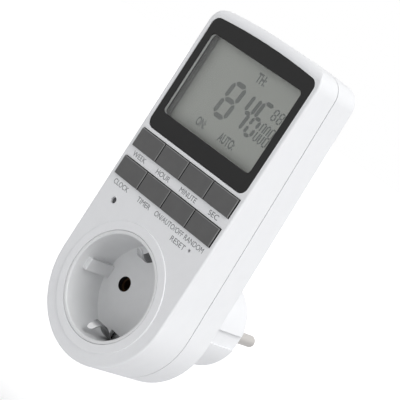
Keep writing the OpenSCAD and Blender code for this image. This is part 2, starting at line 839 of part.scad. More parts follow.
// Box above (side 1) or below (side -1) a height, between two distances from it
module above(side, z, near, away, half_width, d0, d1)
  block([-half_width, d0, z + min(side * near, side * away)],
    [half_width, d1, z + max(side * near, side * away)]);

module plug_insert() color("whitesmoke") placed() difference() {
  union() {
    rod(0, plug_rise, bore_r - drop_gap, insert_back, plug_face_depth - lip_t - stack_gap);
    rod(0, plug_rise, lip_r - drop_gap, insert_back, plug_face_depth);
  }
  for (s = [-1, 1]) {
    rod(s * pin_x, plug_rise, pin_core_r + pin_gap, 0, far);
    rod(s * pin_x, plug_rise, pin_r + pin_gap, plug_face_depth - pin_sink, far);
  }
}

// Pin with a shoulder level with the plug face, a thinner core through the insert and a flange behind it
module plug_pin(side) {
  rounded_rod(side * pin_x, plug_rise, pin_r, plug_face_depth, plug_face_depth + pin_l, pin_tip_r);
  rod(side * pin_x, plug_rise, pin_core_r, pin_root, plug_face_depth + eps);
  rod(side * pin_x, plug_rise, pin_flange_r, insert_back - pin_flange_t, insert_back);
}

// The line pin has an angled tab for the live lead
module plug_pin_line() color("silver") placed() {
  plug_pin(1);
  block([pin_x - pin_tab_half_w, pin_root, plug_rise + pin_core_r - 0.6],
    [pin_x + pin_tab_half_w, pin_root + pin_tab_t, pin_tab_high]);
  block([pin_x - pin_tab_half_w, pin_root, pin_tab_low], [pin_tab_end, pin_root + pin_tab_t, pin_tab_high]);
}

module plug_pin_neutral() color("silver") placed() plug_pin(-1);

module plug_earth_strip() color("silver") placed() {
  r = channel_r + 0.1;
  for (s = [-1, 1]) above(s, plug_rise, r, r + strip_t, earth_w / 2, strip_front, strip_end);
  box_at([0, plug_rise], [earth_w, strip_t, 2 * (r + strip_t)], strip_front);
}

// ---- leads ----

module lead(x, z, start) wire([[x, start, z], [x, wire_depth, z], [x, wire_depth, wire_z],
  [x, power_back, wire_z]], wire_r);

module live_lead() color("brown") placed() lead(live_x, live_z, pin_root);
module switched_lead() color("firebrick") placed() lead(pin_x, tab_z, contact_back - eps);
module neutral_lead() color("royalblue") placed() lead(-pin_x, tab_z, contact_back - eps);

front_shell();
rear_shell();
plug_neck();
case_screws();
display_frame();
display_window();
lcd_holder();
lcd_glass();
lcd_connectors();
key_week();
key_hour();
key_minute();
key_second();
key_clock();
key_timer();
key_mode();
key_random();
key_mat();
reset_button();
reset_switch();
lamp();
control_board();
controller_chip();
crystal();
control_board_screws();
board_link();
power_board();
power_board_screws();
relay();
film_capacitor();
electrolytic_capacitor();
varistor();
fuse();
resistors();
rectifier_diodes();
backup_battery();
battery_strap();
socket_insert();
contact_carrier();
contact_line();
contact_neutral();
earth_spring();
earth_link();
plug_insert();
plug_pin_line();
plug_pin_neutral();
plug_earth_strip();
live_lead();
switched_lead();
neutral_lead();
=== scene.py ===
"""Plug-in timer switch: casing, display, keys, outlet and plug modelled round the loaded frame.

Sizes are in metres where no comment says otherwise. A depth runs along +Y from the front face to
the wall, and a height along +Z.
"""

import json
import math

import bmesh
import bpy
from mathutils import Matrix, Vector


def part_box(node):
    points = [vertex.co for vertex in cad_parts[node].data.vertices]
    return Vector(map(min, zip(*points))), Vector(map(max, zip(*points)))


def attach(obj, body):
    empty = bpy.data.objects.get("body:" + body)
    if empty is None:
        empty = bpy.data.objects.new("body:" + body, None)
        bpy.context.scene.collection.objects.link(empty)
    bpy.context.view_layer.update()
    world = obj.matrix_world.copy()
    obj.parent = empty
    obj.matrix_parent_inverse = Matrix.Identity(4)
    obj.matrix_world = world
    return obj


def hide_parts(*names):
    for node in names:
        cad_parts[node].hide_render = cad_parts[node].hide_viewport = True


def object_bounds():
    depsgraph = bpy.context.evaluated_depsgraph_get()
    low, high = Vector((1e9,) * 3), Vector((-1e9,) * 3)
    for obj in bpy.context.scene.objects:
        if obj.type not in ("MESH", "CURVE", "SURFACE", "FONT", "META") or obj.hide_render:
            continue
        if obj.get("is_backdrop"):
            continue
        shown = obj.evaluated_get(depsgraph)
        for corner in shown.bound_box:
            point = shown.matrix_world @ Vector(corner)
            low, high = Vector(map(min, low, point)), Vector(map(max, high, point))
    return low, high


bl_info = {
    "name": "Timer Switch Builder",
    "version": (1, 0, 0),
    "blender": (4, 5, 0),
    "location": "3D View > Sidebar > Timer",
    "description": "Models a plug-in timer switch round its construction frame",
    "category": "Object",
}

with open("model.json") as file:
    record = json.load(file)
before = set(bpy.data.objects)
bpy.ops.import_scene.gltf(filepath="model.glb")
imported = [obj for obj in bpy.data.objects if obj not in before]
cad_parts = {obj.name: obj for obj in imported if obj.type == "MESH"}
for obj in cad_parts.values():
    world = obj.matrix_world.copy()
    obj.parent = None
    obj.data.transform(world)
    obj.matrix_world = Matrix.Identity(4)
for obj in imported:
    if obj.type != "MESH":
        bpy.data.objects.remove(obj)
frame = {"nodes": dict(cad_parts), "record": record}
CAD_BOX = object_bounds()

MM = 0.001
HOUSING = "housing"
KEYS = ["week", "hour", "minute", "second", "clock", "timer", "mode", "random"]

# Distance below which two points are one, usual step and fewest steps of an arc, turn from which
# an edge counts as sharp, and turn below which it is shaded smooth
NOTHING = 1e-6
ARC_STEP = math.radians(4)
ARC_LEAST = 8
SHARP = math.radians(50)
SMOOTH = math.radians(38)

# Places read from the frame
SHELL_LOW, SHELL_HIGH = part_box("front_shell")
BEZEL_LOW, BEZEL_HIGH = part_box("display_frame")
PANE_LOW, PANE_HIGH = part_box("display_window")
GLASS_LOW, GLASS_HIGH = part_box("lcd_glass")
BOARD_LOW, BOARD_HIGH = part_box("power_board")
LAMP_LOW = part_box("lamp")[0]
HALF_W = SHELL_HIGH.x
TOP_Z = SHELL_HIGH.z
FRONT_Y = BEZEL_LOW.y
AXIS_Z = SHELL_LOW.z + HALF_W
# The plug's face lies at y = 0
PLUG_FACE = -FRONT_Y
PIN_TIP = CAD_BOX[1].y - FRONT_Y
MOUNTS = {m["name"]: m["dims"] for m in frame["record"]["mounts"]}
PIN_X = MOUNTS["wall_plug"]["pcd_mm"] / 2 * MM
PIN_R = MOUNTS["wall_plug"]["stud_r_mm"] * MM
PIN_HOLE_R = MOUNTS["socket_hole_left"]["r_mm"] * MM

# Sizes that several pieces share
ARCH_R = 275 * MM
SIDE_WALL = 1.8 * MM
FRONT_WALL = 2 * MM
BACK_WALL = 2 * MM
INNER_HALF = HALF_W - SIDE_WALL
GAP = 0.1 * MM
COLLAR_EDGE = 0.3 * MM
PANE_LAP = 1 * MM
PANE_DEPTH = BEZEL_HIGH.y - FRONT_Y + GAP / 2
GLASS_SHEET = 0.6 * MM
KEY_LIP = 0.9 * MM
LAMP_HOLE_R = 1.3 * MM
RESET_HOLE_R = 0.65 * MM
PLUG_INSERT_T = 9 * MM
PIN_STEP = 0.4 * MM
CONTROL_DEPTH = 9 * MM
POWER_BACK = BOARD_HIGH.y - FRONT_Y

# Cutters: how far they reach past what they cut, and depths ahead of the front face, past the
# parting line and past the plug's face
CLEAR = 1 * MM
AHEAD = -3 * MM
PAST_SEAM = 30 * MM
PAST_PLUG = 80 * MM

# Case screws and the bosses that they join; the lower pair stands on the round end's diagonals
SCREW_R = 1.4 * MM
SCREW_HOLE = 8 * MM
HEAD_R = 2.6 * MM
HEAD_T = 2 * MM
HEAD_SEAT = 4 * MM
SEAT_WALL = 2 * MM
BOSS_R = 2.6 * MM
REAR_BOSS_R = 3.8 * MM
LOW_BOSS_IN = 2.4 * MM
TOP_BOSS_IN = 7.8 * MM
TOP_BOSS_DOWN = 6 * MM
BOSS_REACH = (INNER_HALF - LOW_BOSS_IN) / math.sqrt(2)
BOSSES = [(side * x, z) for side in (-1, 1) for x, z in
          ((BOSS_REACH, AXIS_Z - BOSS_REACH), (HALF_W - TOP_BOSS_IN, TOP_Z - TOP_BOSS_DOWN))]

# Posts that carry the control board and the power board
POST_R = 1.9 * MM
POST_HOLE_R = 0.82 * MM
POST_HOLE_START = FRONT_WALL + 1 * MM
SIDE_POST_IN = 3.1 * MM
SIDE_POST_UP = 21 * MM
TOP_POST_X = 10 * MM
TOP_POST_DOWN = 4.9 * MM
CONTROL_POSTS = [(side * x, z) for side in (-1, 1) for x, z in
                 ((INNER_HALF - SIDE_POST_IN, AXIS_Z + SIDE_POST_UP), (TOP_POST_X, TOP_Z - TOP_POST_DOWN))]
POWER_POST_IN = 2.2 * MM
POWER_POST_UP = 3.5 * MM
POWER_POST_DOWN = 2.5 * MM
POWER_POSTS = [(side * (BOARD_HIGH.x - POWER_POST_IN), z) for side in (-1, 1)
               for z in (BOARD_LOW.z + POWER_POST_UP, BOARD_HIGH.z - POWER_POST_DOWN)]


# ---- settings -------------------------------------------------------------------------

def length(name, description, millimetres):
    return bpy.props.FloatProperty(name=name, description=description, default=millimetres * MM,
                                   min=0, precision=5, unit="LENGTH")


def tint(name, description, *shown):
    """A colour given as it looks on screen, each part from 0 to 255."""
    parts = [((v / 255 + 0.055) / 1.055) ** 2.4 for v in shown]
    return bpy.props.FloatVectorProperty(name=name, description=description, size=3, min=0, max=1,
                                         subtype="COLOR", default=parts)


class TimerSizes(bpy.types.PropertyGroup):
    """Sizes that can be changed"""
    seam_depth: length("Seam depth", "Depth of the parting line at the outlet's axis", 17.4)
    back_depth: length("Back depth", "Depth of the back face at the outlet's axis", 30.9)
    lean: bpy.props.FloatProperty(name="Lean", description="Lean of the parting line and of the back",
                                  default=math.radians(3.35), subtype="ANGLE")
    top_corner: length("Top corner", "Radius of the casing's two top corners", 7)
    front_edge: length("Front edge", "Rounding of the casing's front edge at the sides", 0.9)
    top_edge: length("Top edge", "Rounding of the casing's front edge along the top", 3.6)
    back_edge: length("Back edge", "Rounding of the casing's back edge", 1.6)
    seam_edge: length("Seam edge", "Bevel on each side of the parting line", 0.06)
    seam_gap: length("Seam gap", "Width of the groove at the parting line", 0.4)
    seam_groove: length("Seam groove", "Depth of that groove in from the outside", 1)
    rim_edge: length("Rim edge", "Rounding round the openings in the casing", 0.15)
    collar_r: length("Collar radius", "Radius of the raised collar round the outlet", 24.35)
    collar_h: length("Collar height", "Height of the collar above the front face", 0.4)
    recess_r: length("Recess radius", "Inner radius of the outlet's recess", 19.5)
    recess_depth: length("Recess depth", "Depth of the recess below the front face", 18.2)
    cup_r: length("Insert radius", "Outer radius of the insert that forms the recess", 20.85)
    cup_edge: length("Insert edge", "Rounding of the insert's rim towards the recess", 0.7)
    rib_w: length("Guide rib", "Width of the guide ribs in the recess", 5)
    clip_w: length("Earth clip", "Width of the earth clips in the recess", 5)
    clip_tip: length("Clip tip", "Width of an earth clip at its front end", 3)
    bezel_corner: length("Bezel corner", "Corner radius of the display bezel", 3.2)
    bezel_edge: length("Bezel edge", "Rounding of the bezel's front edges", 0.25)
    window_corner: length("Window corner", "Corner radius of the opening in the bezel", 1.6)
    key_edge: length("Key edge", "Rounding of the keys' front edges", 0.25)
    key_gap: length("Key gap", "Gap above a row of keys and to its right", 0.3)
    neck_r: length("Neck radius", "Radius of the plug neck", 18.5)
    neck_edge: length("Neck edge", "Rounding of the plug neck's end", 2.5)
    bore_r: length("Neck bore", "Inner radius of the plug neck", 16.3)
    groove_w: length("Groove width", "Width of the plug's guide grooves", 6.2)
    groove_depth: length("Groove depth", "Depth of the plug's guide grooves", 1.3)
    groove_length: length("Groove length", "Length of the grooves from the plug's face", 18)
    label_h: length("Label height", "Height of the capitals printed on the front", 1.95)
    ink: length("Ink", "Thickness of the printed letters and display marks", 0.02)


class TimerColours(bpy.types.PropertyGroup):
    """Colours that can be changed"""
    case: tint("Case", "Casing plastic", 238, 239, 241)
    insert: tint("Insert", "Plastic of the outlet's insert", 226, 227, 228)
    bezel: tint("Bezel", "Display bezel", 26, 26, 26)
    key: tint("Key", "Faces of the keys", 86, 86, 86)
    # The key rim colour is a painted highlight: it makes the keys' upper and right edges lighter
    key_rim: tint("Key rim", "Polished upper and right edges of the keys", 128, 128, 128)
    panel: tint("Panel", "Reflector of the liquid crystal panel", 199, 203, 196)
    mark: tint("Mark", "Marks on the display", 120, 125, 122)
    label: tint("Label", "Letters printed on the front", 112, 114, 117)
    pin: tint("Pin", "Plug pins", 200, 197, 192)
    clip: tint("Clip", "Earth clips", 222, 222, 223)


def sizes():
    return bpy.context.scene.timer_sizes


def colours():
    return bpy.context.scene.timer_colours


# ---- modelling helpers ----------------------------------------------------------------

def settle():
    """Goes to object mode with nothing selected."""
    if bpy.context.mode != "OBJECT":
        bpy.ops.object.mode_set(mode="OBJECT")
    bpy.ops.object.select_all(action="DESELECT")


def take(piece):
    settle()
    piece.select_set(True)
    bpy.context.view_layer.objects.active = piece


def edit(piece):
    take(piece)
    bpy.ops.object.mode_set(mode="EDIT")
    bpy.ops.mesh.select_mode(type="VERT")
    bpy.ops.mesh.select_all(action="SELECT")


def mm(*values):
    """Values in millimetres as metres."""
    return [value * MM for value in values]


def near(a, b):
    return abs(a - b) < 2 * NOTHING


def depth_of(point):
    return point.y - FRONT_Y


def from_axis(point, x=0.0, z=AXIS_Z):
    return math.hypot(point.x - x, point.z - z)


def from_pin_hole(point):
    """Distance from the axis of the outlet's pin hole on the same side."""
    return from_axis(point, math.copysign(PIN_X, point.x))


def leaning_depth(point):
    """Depth at the outlet's axis of the leaning plane that runs through a point."""
    return depth_of(point) + math.tan(sizes().lean) * (point.z - AXIS_Z)


def leaning_at(depth, z):
    """Depth at a height of the leaning plane that has a depth at the outlet's axis."""
    return depth - math.tan(sizes().lean) * (z - AXIS_Z)


def at_depth(depth):
    """A test for points at a depth."""
    return lambda point: near(depth_of(point), depth)


def on_leaning(depth):
    """A test for points on a leaning plane."""
    return lambda point: near(leaning_depth(point), depth)


def middle(node):
    low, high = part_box(node)
    return (low + high) / 2


def key_face(name):
    """Lowest and highest corner of a key without the lips that hold it."""
    low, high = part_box("key_" + name)
    lip = Vector((0, 0, KEY_LIP))
    return low + lip, high - lip


def named(name):
    """Names the piece just added and puts its place in its mesh."""
    piece = bpy.context.object
    piece.name = piece.data.name = name
    bpy.ops.object.transform_apply()
    return piece


def pen(name, x, depth, z):
    """Starts a piece in edit mode as one selected vertex."""
    settle()
    bpy.ops.mesh.primitive_plane_add(size=MM, location=(x, FRONT_Y + depth, z))
    piece = named(name)
    edit(piece)
    bpy.ops.mesh.merge(type="CENTER")
    bpy.ops.mesh.select_all(action="SELECT")
    return piece


def stroke(x, depth, z):
    bpy.ops.mesh.extrude_region_move(TRANSFORM_OT_translate={"value": (x, depth, z)})


def close_up():
    """Merges doubles and turns every face outwards."""
    bpy.ops.mesh.select_all(action="SELECT")
    bpy.ops.mesh.remove_doubles(threshold=NOTHING)
    bpy.ops.mesh.normals_make_consistent(inside=False)


def outline(name, depth, start, path):
    """Draws a face in width and height: (x, z) is a line there, (x, z, turn) an arc round that centre."""
    piece = pen(name, start[0], depth, start[1])
    here = Vector(start)
    for x, z, *turn in path:
        if turn:
            bpy.ops.mesh.spin(steps=max(ARC_LEAST, round(abs(turn[0]) / ARC_STEP)), angle=turn[0],
                              center=(x, FRONT_Y + depth, z), axis=(0, 1, 0))
            centre = Vector((x, z))
            here = centre + Matrix.Rotation(turn[0], 2) @ (here - centre)
        else:
            stroke(x - here.x, 0, z - here.y)
            here = Vector((x, z))
    bpy.ops.mesh.select_all(action="SELECT")
    bpy.ops.mesh.remove_doubles(threshold=NOTHING)
    bpy.ops.mesh.edge_face_add()
    return piece


def thicken(depth):
    stroke(0, depth, 0)
    close_up()


def crown(half, top, corner, arch_r):
    """Path up the right side, round the two top corners and over the shallow arch."""
    reach = half - corner
    turn = math.asin(reach / (arch_r - corner))
    height = top - arch_r + (arch_r - corner) * math.cos(turn)
    quarter = math.pi / 2 - turn
    return [(half, height), (reach, height, quarter), (0, top - arch_r, 2 * turn),
            (-reach, height, quarter)]


def body_block(name, inset, front, back):
    """The casing's outline, moved inwards and extruded between two depths."""
    half = HALF_W - inset
    over = crown(half, TOP_Z - inset, sizes().top_corner - inset, ARCH_R - inset)
    piece = outline(name, front, (-half, AXIS_Z), [(0, AXIS_Z, math.pi), *over, (-half, AXIS_Z)])
    thicken(back - front)
    return piece


def bezel_block(name, grow, front, back):
    """The display bezel's outline, grown and extruded between two depths."""
    radius = sizes().bezel_corner + grow
    half, low = BEZEL_HIGH.x + grow, BEZEL_LOW.z - grow
    side, up, quarter = half - radius, low + radius, math.pi / 2
    over = crown(half, BEZEL_HIGH.z + grow, radius, ARCH_R + grow)
    piece = outline(name, front, (-half, up), [(-side, up, quarter), (side, low), (side, up, quarter),
                                               *over, (-half, up)])
    thicken(back - front)
    return piece


def rounded_block(name, low, high, radius, front, back):
    """A block with round corners between two (x, z) corners and two depths."""
    (x0, z0), (x1, z1), quarter = low, high, math.pi / 2
    piece = outline(name, front, (x0, z0 + radius), [
        (x0 + radius, z0 + radius, quarter), (x1 - radius, z0),
        (x1 - radius, z0 + radius, quarter), (x1, z1 - radius),
        (x1 - radius, z1 - radius, quarter), (x0 + radius, z1),
        (x0 + radius, z1 - radius, quarter), (x0, z0 + radius)])
    thicken(back - front)
    return piece


def window_block(name, grow, radius, front, back):
    """The display opening's outline, grown and extruded between two depths."""
    by = grow - PANE_LAP
    return rounded_block(name, (PANE_LOW.x - by, PANE_LOW.z - by), (PANE_HIGH.x + by, PANE_HIGH.z + by),
                         radius, front, back)


def box(name, *corners):
    """A block between any two opposite corners, each given as (x, depth, z)."""
    settle()
    low, high = (Vector(map(pick, *corners)) for pick in (min, max))
    bpy.ops.mesh.primitive_cube_add(size=1, location=(low + high) / 2 + Vector((0, FRONT_Y, 0)),
                                    scale=high - low)
    return named(name)


def rod(name, x, z, radius, front, back, sides=48):
    settle()
    bpy.ops.mesh.primitive_cylinder_add(vertices=sides, radius=radius, depth=back - front,
                                        location=(x, FRONT_Y + (front + back) / 2, z),
                                        rotation=(math.pi / 2, 0, 0))
    return named(name)


def eased(points, steps=6):
    """Points of a profile in which a corner (across, along, radius) has become an arc."""
    made = []
    for i, (across, along, *radius) in enumerate(points):
        corner = Vector((across, along))
        if not radius:
            made.append(corner)
            continue
        before = (Vector(points[i - 1][:2]) - corner).normalized()
        after = (Vector(points[i + 1][:2]) - corner).normalized()
        half = before.angle(after) / 2
        reach = radius[0] / math.tan(half)
        centre = corner + (before + after).normalized() * radius[0] / math.sin(half)
        start, end = corner + before * reach - centre, corner + after * reach - centre
        sweep = math.atan2(start.cross(end), start.dot(end))
        made += [centre + Matrix.Rotation(sweep * k / steps, 2) @ start for k in range(steps + 1)]
    return made


def turned(name, profile, x=0.0, z=AXIS_Z, steps=90):
    """Spins a profile of (radius, depth) points round an axis that runs along the depth."""
    points = eased(profile)
    piece = pen(name, x + points[0].x, points[0].y, z)
    for here, there in zip(points, points[1:]):
        stroke(there.x - here.x, there.y - here.y, 0)
    bpy.ops.mesh.select_all(action="SELECT")
    bpy.ops.mesh.spin(steps=steps, angle=math.tau, center=(x, FRONT_Y, z), axis=(0, 1, 0))
    close_up()
    return piece


def trim(depth, keep_front):
    """Cuts the piece in hand along the leaning plane at a depth and closes the cut."""
    lean = sizes().lean
    bpy.ops.mesh.select_all(action="SELECT")
    bpy.ops.mesh.bisect(plane_co=(0, FRONT_Y + depth, AXIS_Z), use_fill=True,
                        plane_no=(0, math.cos(lean), math.sin(lean)),
                        clear_outer=keep_front, clear_inner=not keep_front)
    close_up()


def round_edges(test, width, segments=3, sharp=0.0):
    """Rounds the edges whose ends pass a test and that turn by at least an angle."""
    bpy.ops.mesh.select_mode(type="EDGE")
    bpy.ops.mesh.select_all(action="DESELECT")
    data = bpy.context.edit_object.data
    mesh = bmesh.from_edit_mesh(data)
    for edge in mesh.edges:
        if edge.calc_face_angle(0) >= sharp and all(test(v.co) for v in edge.verts):
            edge.select_set(True)
    bmesh.update_edit_mesh(data)
    bpy.ops.mesh.bevel(offset=width, segments=segments, profile=0.5, affect="EDGES", clamp_overlap=True)


def apply_modifier(piece, kind, **settings):
    take(piece)
    modifier = piece.modifiers.new(kind.title(), kind)
    for key, value in settings.items():
        setattr(modifier, key, value)
    bpy.ops.object.modifier_apply(modifier=modifier.name)


def combine(piece, operation, *tools):
    """Cuts the tools out of a piece or joins them to it, and removes them."""
    for tool in tools:
        apply_modifier(piece, "BOOLEAN", operation=operation, solver="EXACT", object=tool)
        bpy.data.objects.remove(tool)


def cut(piece, *tools):
    combine(piece, "DIFFERENCE", *tools)


def join(piece, *tools):
    combine(piece, "UNION", *tools)


def copied(piece, name, shift=(0, 0, 0), turn=0.0, centre=(0, 0, 0)):
    """A copy with its own mesh, turned about an axis along the depth and then moved."""
    take(piece)
    bpy.ops.object.duplicate()
    twin = bpy.context.object
    twin.name = twin.data.name = name
    edit(twin)
    if turn:
        bpy.ops.transform.rotate(value=turn, orient_axis="Y", center_override=centre)
    bpy.ops.transform.translate(value=shift)
    settle()
    return twin


def merged(name, pieces):
    """Joins several meshes into one piece."""
    take(pieces[0])
    for piece in pieces[1:]:
        piece.select_set(True)
    bpy.ops.object.join()
    pieces[0].name = pieces[0].data.name = name
    return pieces[0]


def lettering(name, word, x, z, width, height, depth, weight=0.0):
    """A word as a thin mesh, stretched to a width and a height, at a depth."""
    settle()
    bpy.ops.object.text_add()
    piece = bpy.context.object
    piece.name = piece.data.name = name
    piece.data.body = word
    # One unit thick, until it is stretched
    piece.data.extrude = 1 / 2
    piece.data.offset = weight
    bpy.ops.object.convert(target="MESH")
    edit(piece)
    corners = [v.co for v in bmesh.from_edit_mesh(piece.data).verts]
    low, high = (Vector(map(f, zip(*corners))) for f in (min, max))
    bpy.ops.transform.translate(value=-(low + high) / 2)
    bpy.ops.transform.resize(value=(width / (high.x - low.x), height / (high.y - low.y), sizes().ink))
    take(piece)
    piece.data.transform(Matrix.Translation((x, FRONT_Y + depth, z)) @ Matrix.Rotation(math.pi / 2, 4, "X"))
    return piece


def finish(piece, material, slot, *nodes, body=HOUSING):
    """Shades a piece, gives it its material and puts it in the place of its nodes."""
    take(piece)
    bpy.ops.object.shade_smooth_by_angle(angle=SMOOTH)
    apply_modifier(piece, "WEIGHTED_NORMAL", keep_sharp=True)
    piece.data.materials.clear()
    piece.data.materials.append(material)
    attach(piece, body)
    if nodes:
        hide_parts(*nodes)


# ---- materials ------------------------------------------------------------------------

# Range in which most values of a noise texture lie, and share by which a finish's gloss varies
NOISE_LOW, NOISE_HIGH = 0.3, 0.7
GLOSS_SPREAD = 0.1
# Refraction of clear plastic, and the share of light that it mirrors when seen face on
CLEAR_IOR = 1.4
CLEAR_MIRRORED = 0.028
# Colours that no setting changes
# The two blacks are painted shade, on the keys' sides and inside the pin holes and the reset hole
NEAR_BLACK = (0.012, 0.012, 0.012)
HOLE_SHADE_BLACK = (0.012, 0.01, 0.01)
CLEAR_TINT = (0.9, 0.91, 0.9)
LAMP_HOLE_SHADE = (0.045, 0.045, 0.048)
STEEL = (0.55, 0.55, 0.54)
PAPER = (0.85, 0.85, 0.86)


def wire(tree, source, target):
    tree.links.new(source, target)


def noise(tree, coords, size, detail=2.0, stretch=(1, 1, 1)):
    """Noise whose features are about a size across, in object space."""
    mapping = tree.nodes.new("ShaderNodeMapping")
    mapping.inputs["Scale"].default_value = stretch
    wire(tree, coords, mapping.inputs["Vector"])
    texture = tree.nodes.new("ShaderNodeTexNoise")
    texture.inputs["Scale"].default_value = 1 / size
    texture.inputs["Detail"].default_value = detail
    wire(tree, mapping.outputs["Vector"], texture.inputs["Vector"])
    return texture.outputs["Fac"]


def ranged(tree, source, start, end, low, high):
    """A node that gives low where a value is at its start and high where it is at its end."""
    span = tree.nodes.new("ShaderNodeMapRange")
    for name, value in (("From Min", start), ("From Max", end), ("To Min", low), ("To Max", high)):
        span.inputs[name].default_value = value
    wire(tree, source, span.inputs["Value"])
    return span


def between(tree, texture, low, high):
    return ranged(tree, texture, NOISE_LOW, NOISE_HIGH, low, high).outputs["Result"]


def finish_of(name, colour, roughness, grain, bump, shade=0.03, patch=4 * MM, stretch=(1, 1, 1), **sockets):
    """A surface whose colour and gloss vary softly, with a fine grain in relief."""
    material = bpy.data.materials.get(name)
    if material:
        return material
    material = bpy.data.materials.new(name)
    material.use_nodes = True
    tree = material.node_tree
    surface = tree.nodes["Principled BSDF"]
    coords = tree.nodes.new("ShaderNodeTexCoord").outputs["Object"]
    soft = noise(tree, coords, patch)
    fine = noise(tree, coords, grain, detail=3.0, stretch=stretch)
    blend = tree.nodes.new("ShaderNodeMix")
    blend.data_type = "RGBA"
    blend.inputs["A"].default_value = (*(c * (1 - shade) for c in colour), 1)
    blend.inputs["B"].default_value = (*(min(1, c * (1 + shade)) for c in colour), 1)
    wire(tree, between(tree, soft, 0, 1), blend.inputs["Factor"])
    wire(tree, blend.outputs["Result"], surface.inputs["Base Color"])
    glossy, dull = roughness * (1 - GLOSS_SPREAD), min(1, roughness * (1 + GLOSS_SPREAD))
    wire(tree, between(tree, fine, glossy, dull), surface.inputs["Roughness"])
    relief = tree.nodes.new("ShaderNodeBump")
    relief.inputs["Strength"].default_value = 1
    relief.inputs["Distance"].default_value = bump
    wire(tree, fine, relief.inputs["Height"])
    wire(tree, relief.outputs["Normal"], surface.inputs["Normal"])
    for socket, value in sockets.items():
        words = socket.replace("_", " ")
        surface.inputs[words[0].upper() + words[1:]].default_value = value
    return material


def case_plastic():
    return finish_of("case_plastic", colours().case, roughness=0.42, grain=0.25 * MM, bump=0.0015 * MM,
                     shade=0.008, specular_IOR_Level=0.35)


def insert_plastic():
    return finish_of("insert_plastic", colours().insert, roughness=0.36, grain=0.3 * MM,
                     bump=0.0012 * MM, shade=0.012)


def bezel_plastic():
    return finish_of("bezel_plastic", colours().bezel, roughness=0.35, grain=0.2 * MM, bump=0.002 * MM,
                     shade=0.06, specular_IOR_Level=0.3)


def key_plastic():
    return finish_of("key_plastic", colours().key, roughness=0.45, grain=0.12 * MM, bump=0.004 * MM,
                     shade=0.05)


def key_rim():
    return finish_of("key_rim", colours().key_rim, roughness=0.3, grain=0.12 * MM, bump=0.002 * MM,
                     shade=0.05)


def painted_shade_plastic(name, colour):
    return finish_of(name, colour, roughness=0.6, grain=0.2 * MM, bump=0.002 * MM, specular_IOR_Level=0.2)


# Near-black plastic on the lamp, as painted shade in its hole
def lamp_hole_shade_plastic():
    return finish_of("lamp_smoke", LAMP_HOLE_SHADE, roughness=0.3, grain=0.4 * MM, bump=0.0002 * MM,
                     specular_IOR_Level=0.3)


def liquid_crystal():
    return finish_of("liquid_crystal", colours().panel, roughness=0.5, grain=3 * MM, bump=0, shade=0.01,
                     patch=12 * MM, specular_IOR_Level=0.2)


def display_mark():
    return finish_of("display_mark", colours().mark, roughness=0.5, grain=1 * MM, bump=0,
                     specular_IOR_Level=0.1)


def label_ink():
    return finish_of("label_ink", colours().label, roughness=0.6, grain=0.15 * MM, bump=0.0005 * MM,
                     shade=0.05)


def clear_plastic(name, haze):
    """See-through plastic with a faint haze, whose gloss grows towards grazing views."""
    material = finish_of(name, CLEAR_TINT, roughness=0.05, grain=6 * MM, bump=0.0005 * MM, shade=0.01,
                         patch=9 * MM)
    tree = material.node_tree
    edge = tree.nodes.new("ShaderNodeFresnel")
    edge.inputs["IOR"].default_value = CLEAR_IOR
    cover = ranged(tree, edge.outputs["Fac"], CLEAR_MIRRORED, 1, haze, 1)
    wire(tree, cover.outputs["Result"], tree.nodes["Principled BSDF"].inputs["Alpha"])
    return material


def metal(name, colour, roughness, stretch=(1, 0.15, 1)):
    return finish_of(name, colour, roughness, grain=0.15 * MM, bump=0.001 * MM, shade=0.05,
                     stretch=stretch, metallic=1.0)


def painted_depth_shade(material, start, end, least):
    """Paints shade into a finish with the depth, from its full colour at a start to a least share at an
    end.
    """
    tree = material.node_tree
    surface = tree.nodes["Principled BSDF"]
    parts = tree.nodes.new("ShaderNodeSeparateXYZ")
    wire(tree, tree.nodes["Texture Coordinate"].outputs["Object"], parts.inputs["Vector"])
    share = ranged(tree, parts.outputs["Y"], FRONT_Y + start, FRONT_Y + end, 1, least)
    share.interpolation_type = "SMOOTHSTEP"
    scaled = tree.nodes.new("ShaderNodeVectorMath")
    scaled.operation = "SCALE"
    wire(tree, surface.inputs["Base Color"].links[0].from_socket, scaled.inputs[0])
    wire(tree, share.outputs["Result"], scaled.inputs["Scale"])
    wire(tree, scaled.outputs["Vector"], surface.inputs["Base Color"])
    return material


# ---- casing ---------------------------------------------------------------------------

